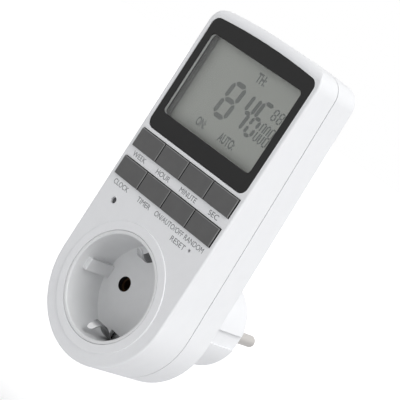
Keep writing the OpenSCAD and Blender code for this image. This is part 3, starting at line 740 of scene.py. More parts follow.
class TIMER_OT_front_case(bpy.types.Operator):
    """Models the front shell with its openings and the collar round the outlet"""
    bl_idname = "timer.front_case"
    bl_label = "Front Case"

    def execute(self, context):
        s = sizes()
        case = body_block("front_case", 0, 0, s.back_depth)
        round_edges(at_depth(0), s.front_edge, segments=4)
        trim(s.seam_depth, keep_front=True)
        round_edges(on_leaning(s.seam_depth), s.seam_edge, segments=1)
        cut(case, body_block("hollow", SIDE_WALL, FRONT_WALL, s.back_depth), self.top_rounding())
        collar = turned("collar", [(0, -s.collar_h), (s.collar_r, -s.collar_h, COLLAR_EDGE),
                                   (s.collar_r, FRONT_WALL / 2), (0, FRONT_WALL / 2)])
        join(case, collar, *self.posts())
        cut(case, *self.openings())
        edit(case)
        round_edges(lambda p: near(depth_of(p), 0) and from_axis(p) > s.collar_r + GAP,
                    s.rim_edge, segments=2, sharp=SHARP)
        round_edges(at_depth(-s.collar_h), s.rim_edge, segments=2, sharp=SHARP)
        finish(case, case_plastic(), "white_shell", "front_shell")
        return {"FINISHED"}

    def top_rounding(self):
        """A ring round the arch's centre whose inner side rounds off the front edge along the top."""
        clear, beyond = GAP / 5, 2 * sizes().top_edge
        inner, outer = ARCH_R - beyond, ARCH_R + beyond
        return turned("top_rounding", [
            (inner, -clear), (ARCH_R + clear, -clear, sizes().top_edge), (ARCH_R + clear, beyond),
            (outer, beyond), (outer, -beyond), (inner, -beyond), (inner, -clear)],
            z=TOP_Z - ARCH_R, steps=720)

    def posts(self):
        inside = FRONT_WALL - GAP / 2
        for x, z in CONTROL_POSTS:
            yield rod("post", x, z, POST_R, inside, CONTROL_DEPTH, sides=24)
        for x, z in BOSSES:
            yield rod("boss", x, z, BOSS_R, inside, leaning_at(sizes().seam_depth, z) - GAP, sides=32)

    def openings(self):
        s, wall = sizes(), FRONT_WALL + GAP
        yield rod("outlet_opening", 0, AXIS_Z, s.cup_r + GAP, AHEAD, wall, sides=90)
        yield bezel_block("bezel_seat", GAP, AHEAD, PANE_DEPTH)
        yield window_block("pane_opening", PANE_LAP + GAP, s.window_corner, 0, wall)
        for name in ("week", "clock"):
            low, high = key_face(name)
            yield box("key_opening", (-BEZEL_HIGH.x - GAP, AHEAD, low.z - GAP),
                      (BEZEL_HIGH.x + s.key_gap, wall, high.z + s.key_gap))
        lamp, reset = middle("lamp"), middle("reset_button")
        yield rod("lamp_opening", lamp.x, lamp.z, LAMP_HOLE_R, AHEAD, wall, sides=32)
        yield rod("reset_opening", reset.x, reset.z, RESET_HOLE_R, AHEAD, wall, sides=24)
        for x, z in CONTROL_POSTS:
            yield rod("post_hole", x, z, POST_HOLE_R, POST_HOLE_START, CONTROL_DEPTH + CLEAR, sides=16)
        for x, z in BOSSES:
            start = leaning_at(s.seam_depth, z) - SCREW_HOLE
            yield rod("boss_hole", x, z, SCREW_R, start, PAST_SEAM, sides=24)


class TIMER_OT_rear_case(bpy.types.Operator):
    """Models the rear shell with its bosses and the deep seats of the case screws"""
    bl_idname = "timer.rear_case"
    bl_label = "Rear Case"

    def execute(self, context):
        s, spare = sizes(), 10 * MM
        beyond = s.back_depth + spare
        case = body_block("rear_case", 0, 0, beyond)
        trim(s.back_depth, keep_front=True)
        round_edges(on_leaning(s.back_depth), s.back_edge, segments=5)
        trim(s.seam_depth, keep_front=False)
        round_edges(on_leaning(s.seam_depth), s.seam_edge, segments=1)
        groove = body_block("groove", -CLEAR, 0, beyond)
        trim(s.seam_depth + s.seam_gap, keep_front=True)
        cut(groove, body_block("kept", s.seam_groove, -CLEAR, beyond))
        cut(case, groove)
        hollow = body_block("hollow", SIDE_WALL, 0, beyond)
        trim(s.back_depth - BACK_WALL, keep_front=True)
        cut(case, hollow)
        join(case, *self.bosses())
        cut(case, rod("neck_opening", 0, 0, s.neck_r + GAP, 0, PLUG_FACE, sides=90))
        for x, z in BOSSES:
            seat = leaning_at(s.seam_depth, z) + HEAD_SEAT
            cut(case, rod("shank_hole", x, z, SCREW_R + 2 * GAP, 0, PLUG_FACE, sides=24),
                rod("head_seat", x, z, HEAD_R + 2 * GAP, seat, PLUG_FACE, sides=32))
        edit(case)
        round_edges(on_leaning(s.back_depth), s.rim_edge, segments=2, sharp=SHARP)
        finish(case, case_plastic(), "white_shell", "rear_shell")
        return {"FINISHED"}

    def bosses(self):
        s = sizes()
        for x, z in BOSSES:
            seam, back = leaning_at(s.seam_depth, z), leaning_at(s.back_depth, z) - BACK_WALL / 2
            yield rod("seat_boss", x, z, REAR_BOSS_R, seam + HEAD_SEAT - SEAT_WALL, back, sides=32)
            yield rod("boss", x, z, BOSS_R, seam + GAP, back, sides=32)
        for x, z in POWER_POSTS:
            back = leaning_at(s.back_depth, z) - BACK_WALL / 2
            yield rod("post", x, z, POST_R, POWER_BACK, back, sides=24)


class TIMER_OT_case_screws(bpy.types.Operator):
    """Models one case screw with a crossed slot and copies it to the four bosses"""
    bl_idname = "timer.case_screws"
    bl_label = "Case Screws"

    def execute(self, context):
        shank, point, head_edge = mm(7.3, 1.5, 0.8)
        arm, half, slot_depth, slot_edge = mm(1.5, 0.35, 0.8, 0.05)
        x, z = BOSSES[0]
        seam = leaning_at(sizes().seam_depth, z)
        seat, tip = seam + HEAD_SEAT, seam - shank
        top = seat + HEAD_T
        screw = turned("case_screw", [
            (0, tip), (SCREW_R / 2, tip), (SCREW_R, tip + point), (SCREW_R, seat), (HEAD_R, seat),
            (HEAD_R, top, head_edge), (0, top)], x, z, steps=32)
        for a, b in ((arm, half), (half, arm)):
            cut(screw, box("slot", (x - a, top - slot_depth, z - b), (x + a, top + CLEAR, z + b)))
        edit(screw)
        round_edges(at_depth(top), slot_edge, segments=1, sharp=SHARP)
        screws = [screw]
        for bx, bz in BOSSES[1:]:
            shift = (bx - x, leaning_at(0, bz) - leaning_at(0, z), bz - z)
            screws.append(copied(screw, "case_screw", shift))
        steel = metal("screw_steel", STEEL, roughness=0.32)
        finish(merged("case_screws", screws), steel, "screw_steel", "case_screws")
        return {"FINISHED"}


# ---- display --------------------------------------------------------------------------

class TIMER_OT_display(bpy.types.Operator):
    """Models the bezel, the clear window and the liquid crystal panel"""
    bl_idname = "timer.display"
    bl_label = "Display"

    def execute(self, context):
        s = sizes()
        land_edge, glass_corner = mm(0.15, 0.4)
        bezel = bezel_block("display_bezel", 0, 0, depth_of(BEZEL_HIGH))
        cut(bezel, window_block("opening", 0, s.window_corner, -CLEAR, FRONT_WALL + CLEAR))
        edit(bezel)
        round_edges(at_depth(0), s.bezel_edge, sharp=SHARP)
        finish(bezel, bezel_plastic(), "frame_black", "display_frame")

        front, back = depth_of(PANE_LOW), depth_of(PANE_HIGH)
        pane = window_block("display_pane", PANE_LAP, s.window_corner, PANE_DEPTH, back)
        land = window_block("land", -GAP / 2, s.window_corner, front, back - GAP)
        round_edges(at_depth(front), land_edge, segments=2)
        join(pane, land)
        finish(pane, clear_plastic("clear_window", haze=0.05), "window_clear", "display_window")

        front, back = depth_of(GLASS_LOW), depth_of(GLASS_HIGH)
        low, high = (GLASS_LOW.x, GLASS_LOW.z), (GLASS_HIGH.x, GLASS_HIGH.z)
        panel = rounded_block("liquid_crystal_panel", low, high, glass_corner,
                              front + GLASS_SHEET + 2 * s.ink, back)
        finish(panel, liquid_crystal(), "lcd_grey", "lcd_glass")
        sheet = rounded_block("liquid_crystal_glass", low, high, glass_corner, front, front + GLASS_SHEET)
        finish(sheet, clear_plastic("clear_glass", haze=0.01), "window_clear")
        return {"FINISHED"}


# Seven-segment figures: lit segments, place of the lower left corner from the outlet's axis,
# width, height and stroke, in millimetres
FIGURES = [
    ("abcdefg", -8.5, 71.7, 5.7, 13.5, 1.9), ("fgb", 2.4, 71.7, 3.4, 13.5, 1.6),
    ("af", 7.7, 71.7, 4.4, 13.5, 1.6), ("e", 5.3, 71.9, 1, 13.6, 1.6),
    ("abcdef", 7.9, 71.9, 3.3, 6.9, 1.4), ("abcdef", 12.9, 71.9, 1.4, 7, 0.6),
    ("abcdef", 15.2, 71.9, 1.3, 7, 0.6), ("abcdefg", 17.5, 71.9, 1.6, 7, 0.6),
    ("abcdefg", 14.5, 81.3, 1.7, 4, 0.6), ("abcdefg", 17.4, 81.3, 1.7, 4, 0.6),
]
# Ends of each segment, in parts of a figure's width and height
SEGMENTS = {
    "a": ((0, 1), (1, 1)), "b": ((1, 0.5), (1, 1)), "c": ((1, 0), (1, 0.5)), "d": ((0, 0), (1, 0)),
    "e": ((0, 0), (0, 0.5)), "f": ((0, 0.5), (0, 1)), "g": ((0, 0.5), (1, 0.5)),
}
# Words on the display: middle from the outlet's axis, width and height, in millimetres
DISPLAY_WORDS = [("TH:", 2, 91, 4.7, 3.9), ("ON:", -10.5, 66.2, 4.8, 3.6), ("AUTO:", 3.8, 66.1, 8.3, 3.7)]
# How far figures lean to the right as they rise, and how much the words' strokes are thickened,
# in parts of the letters' size
SLANT = 0.1
WORD_WEIGHT = 0.03
# Part of a stroke's width that is left free at each end of a segment
SEGMENT_GAP = 0.15


class TIMER_OT_display_marks(bpy.types.Operator):
    """Models the slanted figures and the generic words on the display"""
    bl_idname = "timer.display_marks"
    bl_label = "Display Marks"

    def execute(self, context):
        half_ink = sizes().ink / 2
        depth = depth_of(GLASS_LOW) + GLASS_SHEET + half_ink
        strokes = []
        for lit, *measures in FIGURES:
            strokes += self.figure(lit, *mm(*measures), depth)
        for word, *measures in DISPLAY_WORDS:
            x, z, width, height = mm(*measures)
            strokes.append(lettering("word", word, x, AXIS_Z + z, width, height, depth + half_ink,
                                     WORD_WEIGHT))
        finish(merged("display_marks", strokes), display_mark(), "lcd_grey")
        return {"FINISHED"}

    def figure(self, lit, x, z, width, height, stroke, depth):
        """The lit segments of one figure, each a slanted six-cornered bar."""
        for segment in lit:
            start, end = (Vector((a * width, b * height)) for a, b in SEGMENTS[segment])
            along = (end - start).normalized()
            start, end = start + along * stroke * SEGMENT_GAP, end - along * stroke * SEGMENT_GAP
            along, across = along * stroke / 2, Vector((-along.y, along.x)) * stroke / 2
            points = [start, start + along - across, end - along - across, end, end - along + across,
                      start + along + across]
            points = [(x + p.x + SLANT * p.y, AXIS_Z + z + p.y) for p in points]
            piece = outline("segment", depth, points[0], [*points[1:], points[0]])
            thicken(sizes().ink)
            yield piece


# ---- keys -----------------------------------------------------------------------------

# A face of a key is a side, painted black as shade, where its normal points along the depth by less
# than the first share, and a rim, painted lighter as a highlight, where it points right or up by
# more than the second
SIDE_MOST = 0.3
RIM_LEAST = 0.2


class TIMER_OT_keys(bpy.types.Operator):
    """Models one key cap and copies it to the eight places"""
    bl_idname = "timer.keys"
    bl_label = "Keys"

    def execute(self, context):
        lip_t, stem_r = mm(1.2, 2.2)
        low, high = key_face(KEYS[0])
        centre = middle("key_" + KEYS[0])
        front, lip_front = depth_of(low), FRONT_WALL + GAP / 2
        lip_back = lip_front + lip_t
        key = box("key", (low.x, front, low.z), (high.x, lip_back, high.z))
        edit(key)
        round_edges(at_depth(front), sizes().key_edge)
        join(key, box("lips", (low.x, lip_front, low.z - KEY_LIP), (high.x, lip_back, high.z + KEY_LIP)),
             rod("stem", centre.x, centre.z, stem_r, lip_front, depth_of(high), sides=32))
        for name in KEYS[1:]:
            self.finished(copied(key, "key_cap_" + name, middle("key_" + name) - centre), name)
        key.name = key.data.name = "key_cap_" + KEYS[0]
        self.finished(key, KEYS[0])
        return {"FINISHED"}

    def finished(self, key, name):
        """Finishes a key with sides painted black as shade in its gaps and a rim above and to the right
        painted lighter as a highlight.
        """
        finish(key, key_plastic(), "key_grey", "key_" + name, body=name + "_key")
        # The sides are painted black as shade in the gaps round the keys, and the rim lighter as a painted
        # highlight
        key.data.materials.append(painted_shade_plastic("key_sides", NEAR_BLACK))
        key.data.materials.append(key_rim())
        for face in key.data.polygons:
            side, ahead, up = face.normal
            if abs(ahead) < SIDE_MOST or depth_of(face.center) > FRONT_WALL:
                face.material_index = 1
            elif max(side, up) > RIM_LEAST:
                face.material_index = 2


# ---- outlet ---------------------------------------------------------------------------

# Rounded lip of the pin holes, in front of their walls, which are painted black as shade
HOLE_LIP = 0.25 * MM


class TIMER_OT_outlet(bpy.types.Operator):
    """Models the recess insert with its guide ribs, pin holes and slots for the earth clips"""
    bl_idname = "timer.outlet"
    bl_label = "Outlet"

    def execute(self, context):
        s = sizes()
        floor_t, floor_edge, flange_t, skirt = mm(2, 0.4, 1.5, 3)
        slot_in, slot_out, slot_side = mm(3.5, 0.01, 0.4)
        floor, back = s.recess_depth, s.recess_depth + floor_t
        flange, flange_r, inner = FRONT_WALL + GAP / 2, s.cup_r + flange_t, s.recess_r + GAP
        cup = turned("outlet_insert", [
            (0, floor), (s.recess_r, floor, floor_edge), (s.recess_r, -s.collar_h, s.cup_edge),
            (s.cup_r, -s.collar_h, COLLAR_EDGE), (s.cup_r, flange), (flange_r, flange),
            (flange_r, flange + flange_t), (s.cup_r, flange + flange_t), (s.cup_r, back + skirt),
            (inner, back + skirt), (inner, back), (0, back)])
        join(cup, *self.ribs())
        half = s.clip_w / 2 + slot_side
        for side in (-1, 1):
            cut(cup, rod("pin_hole", side * PIN_X, AXIS_Z, PIN_HOLE_R, floor - CLEAR, back + CLEAR),
                box("slot", (-half, floor - GAP, AXIS_Z + side * (s.recess_r - slot_in)),
                    (half, back + CLEAR, AXIS_Z + side * (s.recess_r - slot_out))))
        edit(cup)
        round_edges(lambda p: near(depth_of(p), floor) and abs(from_pin_hole(p) - PIN_HOLE_R) < GAP,
                    HOLE_LIP, sharp=SHARP)
        finish(cup, insert_plastic(), "socket_white", "socket_insert")
        # The pin holes' walls behind the lip are painted black as shade
        cup.data.materials.append(painted_shade_plastic("painted_shade_plastic", HOLE_SHADE_BLACK))
        for face in cup.data.polygons:
            in_hole = from_pin_hole(face.center) < PIN_HOLE_R
            face.material_index = int(in_hole and depth_of(face.center) > floor + HOLE_LIP)
        return {"FINISHED"}

    def ribs(self):
        s = sizes()
        start, height, root, edge = mm(4.5, 2, 0.5, 0.4)
        for side in (-1, 1):
            crest = side * (s.recess_r - height)
            rib = box("rib", (crest, start, AXIS_Z - s.rib_w / 2),
                      (side * (s.recess_r + root), s.recess_depth + GAP, AXIS_Z + s.rib_w / 2))
            edit(rib)
            round_edges(lambda p: near(p.x, crest) or near(depth_of(p), start), edge)
            yield rib


class TIMER_OT_earth_clips(bpy.types.Operator):
    """Models the two sprung earth clips of the outlet and the bar that joins them"""
    bl_idname = "timer.earth_clips"
    bl_label = "Earth Clips"

    def execute(self, context):
        s = sizes()
        front, thickness, under_floor, edge = mm(2.4, 0.6, 2.1, 0.12)
        steps = 40
        back = s.recess_depth + under_floor + thickness
        depths = [front + (back - thickness / 2 - front) * k / steps for k in range(steps + 1)]
        halves = [self.half_width(depth - front) for depth in depths]
        reaches = [self.reach(depth) for depth in depths]
        arm = pen("earth_arm", -halves[0], depths[0], AXIS_Z + reaches[0])
        for k in range(steps):
            stroke(halves[k] - halves[k + 1], depths[k + 1] - depths[k], reaches[k + 1] - reaches[k])
        bpy.ops.mesh.select_all(action="SELECT")
        bpy.ops.mesh.duplicate()
        bpy.ops.transform.resize(value=(-1, 1, 1), center_override=(0, 0, 0))
        bpy.ops.mesh.select_all(action="SELECT")
        bpy.ops.mesh.bridge_edge_loops()
        apply_modifier(arm, "SOLIDIFY", thickness=thickness, offset=0)
        apply_modifier(arm, "BEVEL", width=edge, segments=2, limit_method="ANGLE")
        other = copied(arm, "earth_arm", turn=math.pi, centre=(0, 0, AXIS_Z))
        half, end = s.clip_w / 2, reaches[-1]
        bar = box("earth_bar", (-half, back - thickness, AXIS_Z - end), (half, back, AXIS_Z + end))
        clips = merged("earth_clips", [arm, other, bar])
        nickel = metal("spring_nickel", colours().clip, roughness=0.22, stretch=(0.2, 1, 1))
        # The clips are painted darker with the depth: painted shade deep in the recess
        finish(clips, painted_depth_shade(nickel, start=4 * MM, end=8 * MM, least=0.35), "nickel", "earth_spring")
        return {"FINISHED"}

    def half_width(self, behind):
        """Half of the strip's width at a distance behind its rounded tip."""
        tip, full = sizes().clip_tip / 2, sizes().clip_w / 2
        taper, corner = mm(5, 1)
        width = tip + (full - tip) * min(1, behind / taper) ** 2
        ahead = max(0, corner - behind)
        return width - (corner - math.sqrt(corner ** 2 - ahead ** 2))

    def reach(self, depth):
        """Distance of the strip's middle from the outlet's axis."""
        bend, inner, wall_gap = mm(6.8, 14.1, 0.9)
        rise, fall = mm(7, 9.5)
        rest = sizes().recess_r - wall_gap
        turn = min(1, abs(depth - bend) / (rise if depth < bend else fall)) * math.pi / 2
        return rest - (rest - inner) * math.cos(turn) ** 2


# ---- plug -----------------------------------------------------------------------------

class TIMER_OT_plug(bpy.types.Operator):
    """Models the plug neck, the insert in it, the two pins and the earth strips"""
    bl_idname = "timer.plug"
    bl_label = "Plug"

    def execute(self, context):
        s = sizes()
        start, flange_end, flange_t, flange_rim = mm(20, 40, 1.2, 2)
        lip_w, channel_deep, edge = mm(1.7, 0.6, 0.15)
        inside = s.back_depth - BACK_WALL - GAP / 2
        neck = turned("plug_body", [(0, start), (s.neck_r, start), (s.neck_r, PLUG_FACE, s.neck_edge),
                                    (0, PLUG_FACE)], z=0)
        trim(inside - flange_t, keep_front=False)
        flange = rod("flange", 0, 0, s.neck_r + flange_rim, start, flange_end, sides=90)
        edit(flange)
        trim(inside, keep_front=True)
        trim(inside - flange_t, keep_front=False)
        join(neck, flange)
        lip, channel = s.bore_r - lip_w, s.bore_r + channel_deep
        cut(neck, rod("bore", 0, 0, s.bore_r, 0, PLUG_FACE - s.neck_edge, sides=90),
            rod("mouth", 0, 0, lip, 0, PAST_PLUG, sides=90), *self.grooves(channel))
        apply_modifier(neck, "BEVEL", width=edge, segments=2, limit_method="ANGLE", angle_limit=SHARP)
        finish(neck, case_plastic(), "white_shell", "plug_neck")
        self.insert(lip)
        self.pins()
        self.strips(channel)
        return {"FINISHED"}

    def grooves(self, channel):
        """Cutters for the guide grooves at the sides and the strips' channels above and below."""
        s = sizes()
        strip_gap, past = mm(0.5, 5)
        start, wide, strip = PLUG_FACE - s.groove_length, s.groove_w / 2, s.clip_w / 2 + strip_gap
        for side in (-1, 1):
            outside = side * (s.neck_r + past)
            yield box("groove", (side * (s.neck_r - s.groove_depth), start, -wide),
                      (outside, PAST_PLUG, wide))
            yield box("channel", (-strip, start - CLEAR, side * channel), (strip, PAST_PLUG, outside))

    def insert(self, lip):
        s = sizes()
        edge, core_gap, sink_gap, sink_deep = mm(0.2, 0.02, 0.02, 0.3)
        back, step = PLUG_FACE - PLUG_INSERT_T, PLUG_FACE - s.neck_edge - GAP / 2
        insert = turned("plug_insert_face", [
            (0, back), (s.bore_r - GAP, back), (s.bore_r - GAP, step), (lip - GAP, step),
            (lip - GAP, PLUG_FACE, edge), (0, PLUG_FACE)], z=0)
        for side in (-1, 1):
            cut(insert, rod("core_hole", side * PIN_X, 0, PIN_R - PIN_STEP + core_gap, 0, PAST_PLUG),
                rod("sink", side * PIN_X, 0, PIN_R + sink_gap, PLUG_FACE - sink_deep, PAST_PLUG))
        finish(insert, insert_plastic(), "white_shell", "plug_insert")

    def pins(self):
        root_in, collar_t, collar_w, tip_edge = mm(17, 1.2, 1, 1.6)
        tab_half, tab_t, tab_lap = mm(1, 1, 0.6)
        end_out, end_low, end_top = mm(4.8, 5.5, 7.5)
        core, root, back = PIN_R - PIN_STEP, PLUG_FACE - root_in, PLUG_FACE - PLUG_INSERT_T
        collar, collar_front = PIN_R + collar_w, back - collar_t
        pin = turned("pin_neutral", [
            (0, root), (core, root), (core, collar_front), (collar, collar_front), (collar, back),
            (core, back), (core, PLUG_FACE), (PIN_R, PLUG_FACE), (PIN_R, PIN_TIP, tip_edge),
            (0, PIN_TIP)], x=-PIN_X, z=0, steps=48)
        line = copied(pin, "pin_line", (2 * PIN_X, 0, 0))
        left, right, tab_back = PIN_X - tab_half, PIN_X + tab_half, root + tab_t
        join(line, box("tab", (left, root, core - tab_lap), (right, tab_back, end_top)),
             box("tab_end", (left, root, end_low), (PIN_X + end_out, tab_back, end_top)))
        nickel = metal("pin_nickel", colours().pin, roughness=0.3)
        finish(pin, nickel, "pin_nickel", "plug_pin_neutral")
        finish(line, nickel, "pin_nickel", "plug_pin_line")

    def strips(self, channel):
        thickness, front_in, back_in, edge = mm(0.8, 19, 1.5, 0.15)
        half, inner = sizes().clip_w / 2, channel + GAP
        outer, front, back = inner + thickness, PLUG_FACE - front_in, PLUG_FACE - back_in
        strips = box("earth_strips", (-half, front, -outer), (half, front + thickness, outer))
        for side in (-1, 1):
            join(strips, box("earth_strip", (-half, front, side * inner), (half, back, side * outer)))
        apply_modifier(strips, "BEVEL", width=edge, segments=2, limit_method="ANGLE")
        nickel = metal("clip_nickel", colours().clip, roughness=0.22)
        finish(strips, nickel, "nickel", "plug_earth_strip")


# ---- lamp, reset button and letters ---------------------------------------------------

class TIMER_OT_small_controls(bpy.types.Operator):
    """Models the lamp behind its hole and the reset stem behind its pin hole"""
    bl_idname = "timer.small_controls"
    bl_label = "Lamp and Reset"

    def execute(self, context):
        base_r, base_front, base_back = mm(1.8, 6.2, 7)
        steps = 8
        lead_x, lead_r, stem_edge = mm(0.7, 0.25, 0.2)
        lamp, radius = middle("lamp"), LAMP_HOLE_R - GAP / 2
        dome = depth_of(LAMP_LOW) + radius
        turns = [math.pi / 2 * k / steps for k in range(steps + 1)]
        bulb = [(radius * math.sin(a), dome - radius * math.cos(a)) for a in turns]
        piece = turned("lamp_dome", [*bulb, (radius, base_front), (base_r, base_front),
                                     (base_r, base_back), (0, base_back)], lamp.x, lamp.z, steps=32)
        for side in (-1, 1):
            join(piece, rod("lead", lamp.x + side * lead_x, lamp.z, lead_r, base_back - GAP,
                            CONTROL_DEPTH - GAP / 2, sides=12))
        # The lamp is near black as painted shade in its hole
        finish(piece, lamp_hole_shade_plastic(), "lamp_smoke", "lamp")

        low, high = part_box("reset_button")
        button, front, back = middle("reset_button"), depth_of(low), depth_of(high)
        radius = high.x - button.x
        stem = turned("reset_stem", [(0, front), (radius, front, stem_edge), (radius, back), (0, back)],
                      button.x, button.z, steps=32)
        # The reset stem is painted black as shade in the reset hole
        black = painted_shade_plastic("painted_shade_plastic", HOLE_SHADE_BLACK)
        finish(stem, black, "button_grey", "reset_button", body="reset_key")
        return {"FINISHED"}


# Words printed on the front: middle from the outlet's axis and width, in millimetres
LABELS = [
    ("WEEK", -21.25, 43.3, 7), ("HOUR", -7.35, 43.3, 7.3), ("MINUTE", 6.95, 43.3, 8.9),
    ("SEC", 21.1, 43.3, 5), ("CLOCK", -21.3, 31.1, 8.2), ("TIMER", -7.9, 31.1, 7.2),
    ("ON/AUTO/OFF", 6.7, 31.1, 15.9), ("RANDOM", 20.75, 31.1, 10.2), ("RESET", 14.7, 27.8, 7.7),
]


class TIMER_OT_labels(bpy.types.Operator):
    """Prints the generic words beside the keys and the reset hole"""
    bl_idname = "timer.labels"
    bl_label = "Labels"

    def execute(self, context):
        for word, *measures in LABELS:
            x, z, width = mm(*measures)
            piece = lettering("label_" + word.replace("/", "_").lower(), word, x, AXIS_Z + z, width,
                              sizes().label_h, -sizes().ink / 2)
            finish(piece, label_ink(), "frame_black")
        return {"FINISHED"}


# ---- inner parts ----------------------------------------------------------------------

# Finish of each material slot inside: colour, roughness, grain in mm, and whether it is metal
INNER_FINISHES = {
    # Painted shade: the display holder is dark grey to stand for the shade round the panel
    "holder_grey": ((0.13, 0.13, 0.13), 0.5, 0.3, False),
    "rubber_dark": ((0.05, 0.05, 0.05), 0.7, 0.2, False),
    "black_plastic": ((0.03, 0.03, 0.03), 0.4, 0.2, False),
    "board_green": ((0.02, 0.17, 0.08), 0.35, 0.5, False),
    "board_brown": ((0.32, 0.19, 0.07), 0.5, 0.6, False),
    "chip_black": ((0.02, 0.02, 0.02), 0.55, 0.15, False),
    "nickel": ((0.6, 0.6, 0.59), 0.25, 0.2, True),
    "screw_steel": (STEEL, 0.32, 0.15, True),
    "relay_blue": ((0.02, 0.09, 0.35), 0.35, 0.3, False),
    "capacitor_yellow": ((0.6, 0.4, 0.05), 0.35, 0.3, False),
    "capacitor_black": ((0.02, 0.02, 0.05), 0.3, 0.3, False),
    "varistor_blue": ((0.03, 0.14, 0.45), 0.4, 0.4, False),
    "resistor_tan": ((0.5, 0.36, 0.2), 0.45, 0.3, False),
    # Painted shade: the contact carrier and the brass are dark, for the shade inside the pin holes
    "carrier_dark": ((0.018, 0.015, 0.014), 0.6, 0.3, False),
    "brass": ((0.14, 0.08, 0.045), 0.5, 0.2, True),
    "lead_brown": ((0.15, 0.05, 0.02), 0.45, 0.4, False),
    "lead_red": ((0.45, 0.03, 0.02), 0.45, 0.4, False),
    "lead_blue": ((0.02, 0.1, 0.45), 0.45, 0.4, False),
}


class TIMER_OT_inner_parts(bpy.types.Operator):
    """Gives the parts inside the casing their finishes"""
    bl_idname = "timer.inner_parts"
    bl_label = "Inner Parts"

    def execute(self, context):
        for node in frame["nodes"].values():
            if node.hide_render:
                continue
            for place in node.material_slots:
                place.material = self.inner_finish(place.material.name.split(".")[0])
        return {"FINISHED"}

    def inner_finish(self, slot):
        colour, roughness, grain, is_metal = INNER_FINISHES[slot]
        return finish_of("inner_" + slot, colour, roughness, grain * MM, bump=0.002 * MM, shade=0.06,
                         metallic=float(is_metal))


# ---- stage ----------------------------------------------------------------------------

# Lamps: direction that they stand in, strength and spread in degrees
LAMPS = [("key_light", (0.62, -0.12, 0.775), 2.22, 45), ("fill_light", (0.3, -0.9, 0.2), 0.26, 30)]
# How strongly the surroundings light the object, and how much the camera sees the floor brightened
SKY_STRENGTH = 0.33
FLOOR_LIFT = 0.4
# Width of the floor, and how far below the object it lies, in metres
FLOOR_SIZE = 8
FLOOR_DROP = 0.05
# Camera: azimuth, elevation and roll in degrees, point that it looks at, its distance from there,
# and its focal length and sensor in millimetres
CAMERA_ANGLES = (37.6, 6.26, 33.15)
CAMERA_TARGET = (12.56 * MM, FRONT_Y, AXIS_Z + 44.56 * MM)
CAMERA_DISTANCE = 531.4 * MM
CAMERA_FOCAL = 137.34
CAMERA_SENSOR = 36
CAMERA_NEAREST = 10 * MM


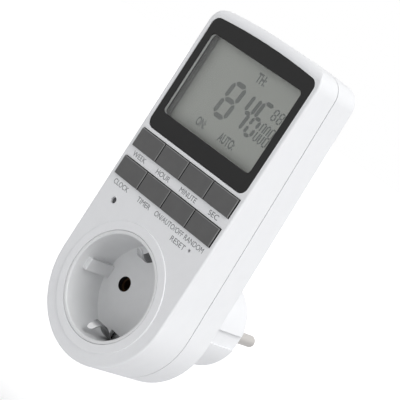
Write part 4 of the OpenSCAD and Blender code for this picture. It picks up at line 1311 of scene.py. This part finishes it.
class TIMER_OT_stage(bpy.types.Operator):
    """Sets the floor, the pale surroundings, the lamps and the camera"""
    bl_idname = "timer.stage"
    bl_label = "Stage"

    def execute(self, context):
        scene = context.scene
        scene.view_settings.view_transform = "Standard"
        self.floor()
        self.world(scene)
        for name, towards, strength, spread in LAMPS:
            self.lamp(name, towards, strength, math.radians(spread))
        self.camera(scene)
        return {"FINISHED"}

    def floor(self):
        settle()
        bpy.ops.mesh.primitive_plane_add(size=FLOOR_SIZE, location=(0, 0, CAD_BOX[0].z - FLOOR_DROP))
        floor = bpy.context.object
        floor.name = "floor"
        material = finish_of("floor_paper", PAPER, roughness=0.8, grain=4 * MM, bump=0.02 * MM, shade=0.01)
        tree = material.node_tree
        surface = tree.nodes["Principled BSDF"]
        surface.inputs["Emission Color"].default_value = (1, 1, 1, 1)
        seen = tree.nodes.new("ShaderNodeLightPath").outputs["Is Camera Ray"]
        lift = ranged(tree, seen, 0, 1, 0, FLOOR_LIFT)
        wire(tree, lift.outputs["Result"], surface.inputs["Emission Strength"])
        floor.data.materials.append(material)
        floor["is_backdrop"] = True

    def world(self, scene):
        """Pale surroundings that light softly but look white to the camera and in reflections."""
        scene.world = bpy.data.worlds.new("surroundings")
        scene.world.use_nodes = True
        tree = scene.world.node_tree
        sky = tree.nodes["Background"]
        sky.inputs["Color"].default_value = (1, 1, 1, 1)
        path = tree.nodes.new("ShaderNodeLightPath")
        seen = path.outputs["Is Camera Ray"]
        for other in ("Is Glossy Ray", "Is Transmission Ray"):
            either = tree.nodes.new("ShaderNodeMath")
            either.operation = "MAXIMUM"
            wire(tree, seen, either.inputs[0])
            wire(tree, path.outputs[other], either.inputs[1])
            seen = either.outputs["Value"]
        strength = ranged(tree, seen, 0, 1, SKY_STRENGTH, 1)
        wire(tree, strength.outputs["Result"], sky.inputs["Strength"])

    def lamp(self, name, towards, strength, spread):
        """A soft distant lamp that stands in a direction seen from the object."""
        settle()
        bpy.ops.object.light_add(type="SUN", location=towards)
        lamp = bpy.context.object
        lamp.name = name
        lamp.data.energy = strength
        lamp.data.angle = spread
        lamp.rotation_euler = Vector(towards).to_track_quat("Z", "Y").to_euler()

    def camera(self, scene):
        azimuth, elevation, roll = (math.radians(a) for a in CAMERA_ANGLES)
        back = Vector((math.sin(azimuth) * math.cos(elevation), -math.cos(azimuth) * math.cos(elevation),
                       math.sin(elevation)))
        settle()
        bpy.ops.object.camera_add(location=Vector(CAMERA_TARGET) + back * CAMERA_DISTANCE)
        camera = bpy.context.object
        right = Vector((0, 0, 1)).cross(back).normalized()
        up = back.cross(right)
        across = right * math.cos(roll) + up * math.sin(roll)
        above = up * math.cos(roll) - right * math.sin(roll)
        camera.rotation_euler = Matrix((across, above, back)).transposed().to_euler()
        camera.data.lens = CAMERA_FOCAL
        camera.data.sensor_width = CAMERA_SENSOR
        camera.data.clip_start = CAMERA_NEAREST
        scene.camera = camera


class TIMER_PT_builder(bpy.types.Panel):
    """Lists the pieces that can be modelled"""
    bl_idname = "TIMER_PT_builder"
    bl_label = "Timer Switch"
    bl_space_type = "VIEW_3D"
    bl_region_type = "UI"
    bl_category = "Timer"

    def draw(self, context):
        for operator in OPERATORS:
            self.layout.operator(operator.bl_idname)
        for group in (context.scene.timer_sizes, context.scene.timer_colours):
            for name in group.bl_rna.properties.keys():
                if name not in ("rna_type", "name"):
                    self.layout.prop(group, name)


OPERATORS = [
    TIMER_OT_stage, TIMER_OT_front_case, TIMER_OT_rear_case, TIMER_OT_case_screws, TIMER_OT_display,
    TIMER_OT_display_marks, TIMER_OT_keys, TIMER_OT_outlet, TIMER_OT_earth_clips, TIMER_OT_plug,
    TIMER_OT_small_controls, TIMER_OT_labels, TIMER_OT_inner_parts,
]
CLASSES = [TimerSizes, TimerColours, *OPERATORS, TIMER_PT_builder]


def register():
    for each in CLASSES:
        bpy.utils.register_class(each)
    bpy.types.Scene.timer_sizes = bpy.props.PointerProperty(type=TimerSizes)
    bpy.types.Scene.timer_colours = bpy.props.PointerProperty(type=TimerColours)


def unregister():
    del bpy.types.Scene.timer_colours
    del bpy.types.Scene.timer_sizes
    for each in reversed(CLASSES):
        bpy.utils.unregister_class(each)


def main():
    register()
    for operator in OPERATORS:
        group, name = operator.bl_idname.split(".")
        getattr(getattr(bpy.ops, group), name)()
    settle()
    boxes = {"cad": CAD_BOX, "visual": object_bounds()}
    {name: [list(corner) for corner in pair] for name, pair in boxes.items()}


if __name__ == "__main__":
    main()
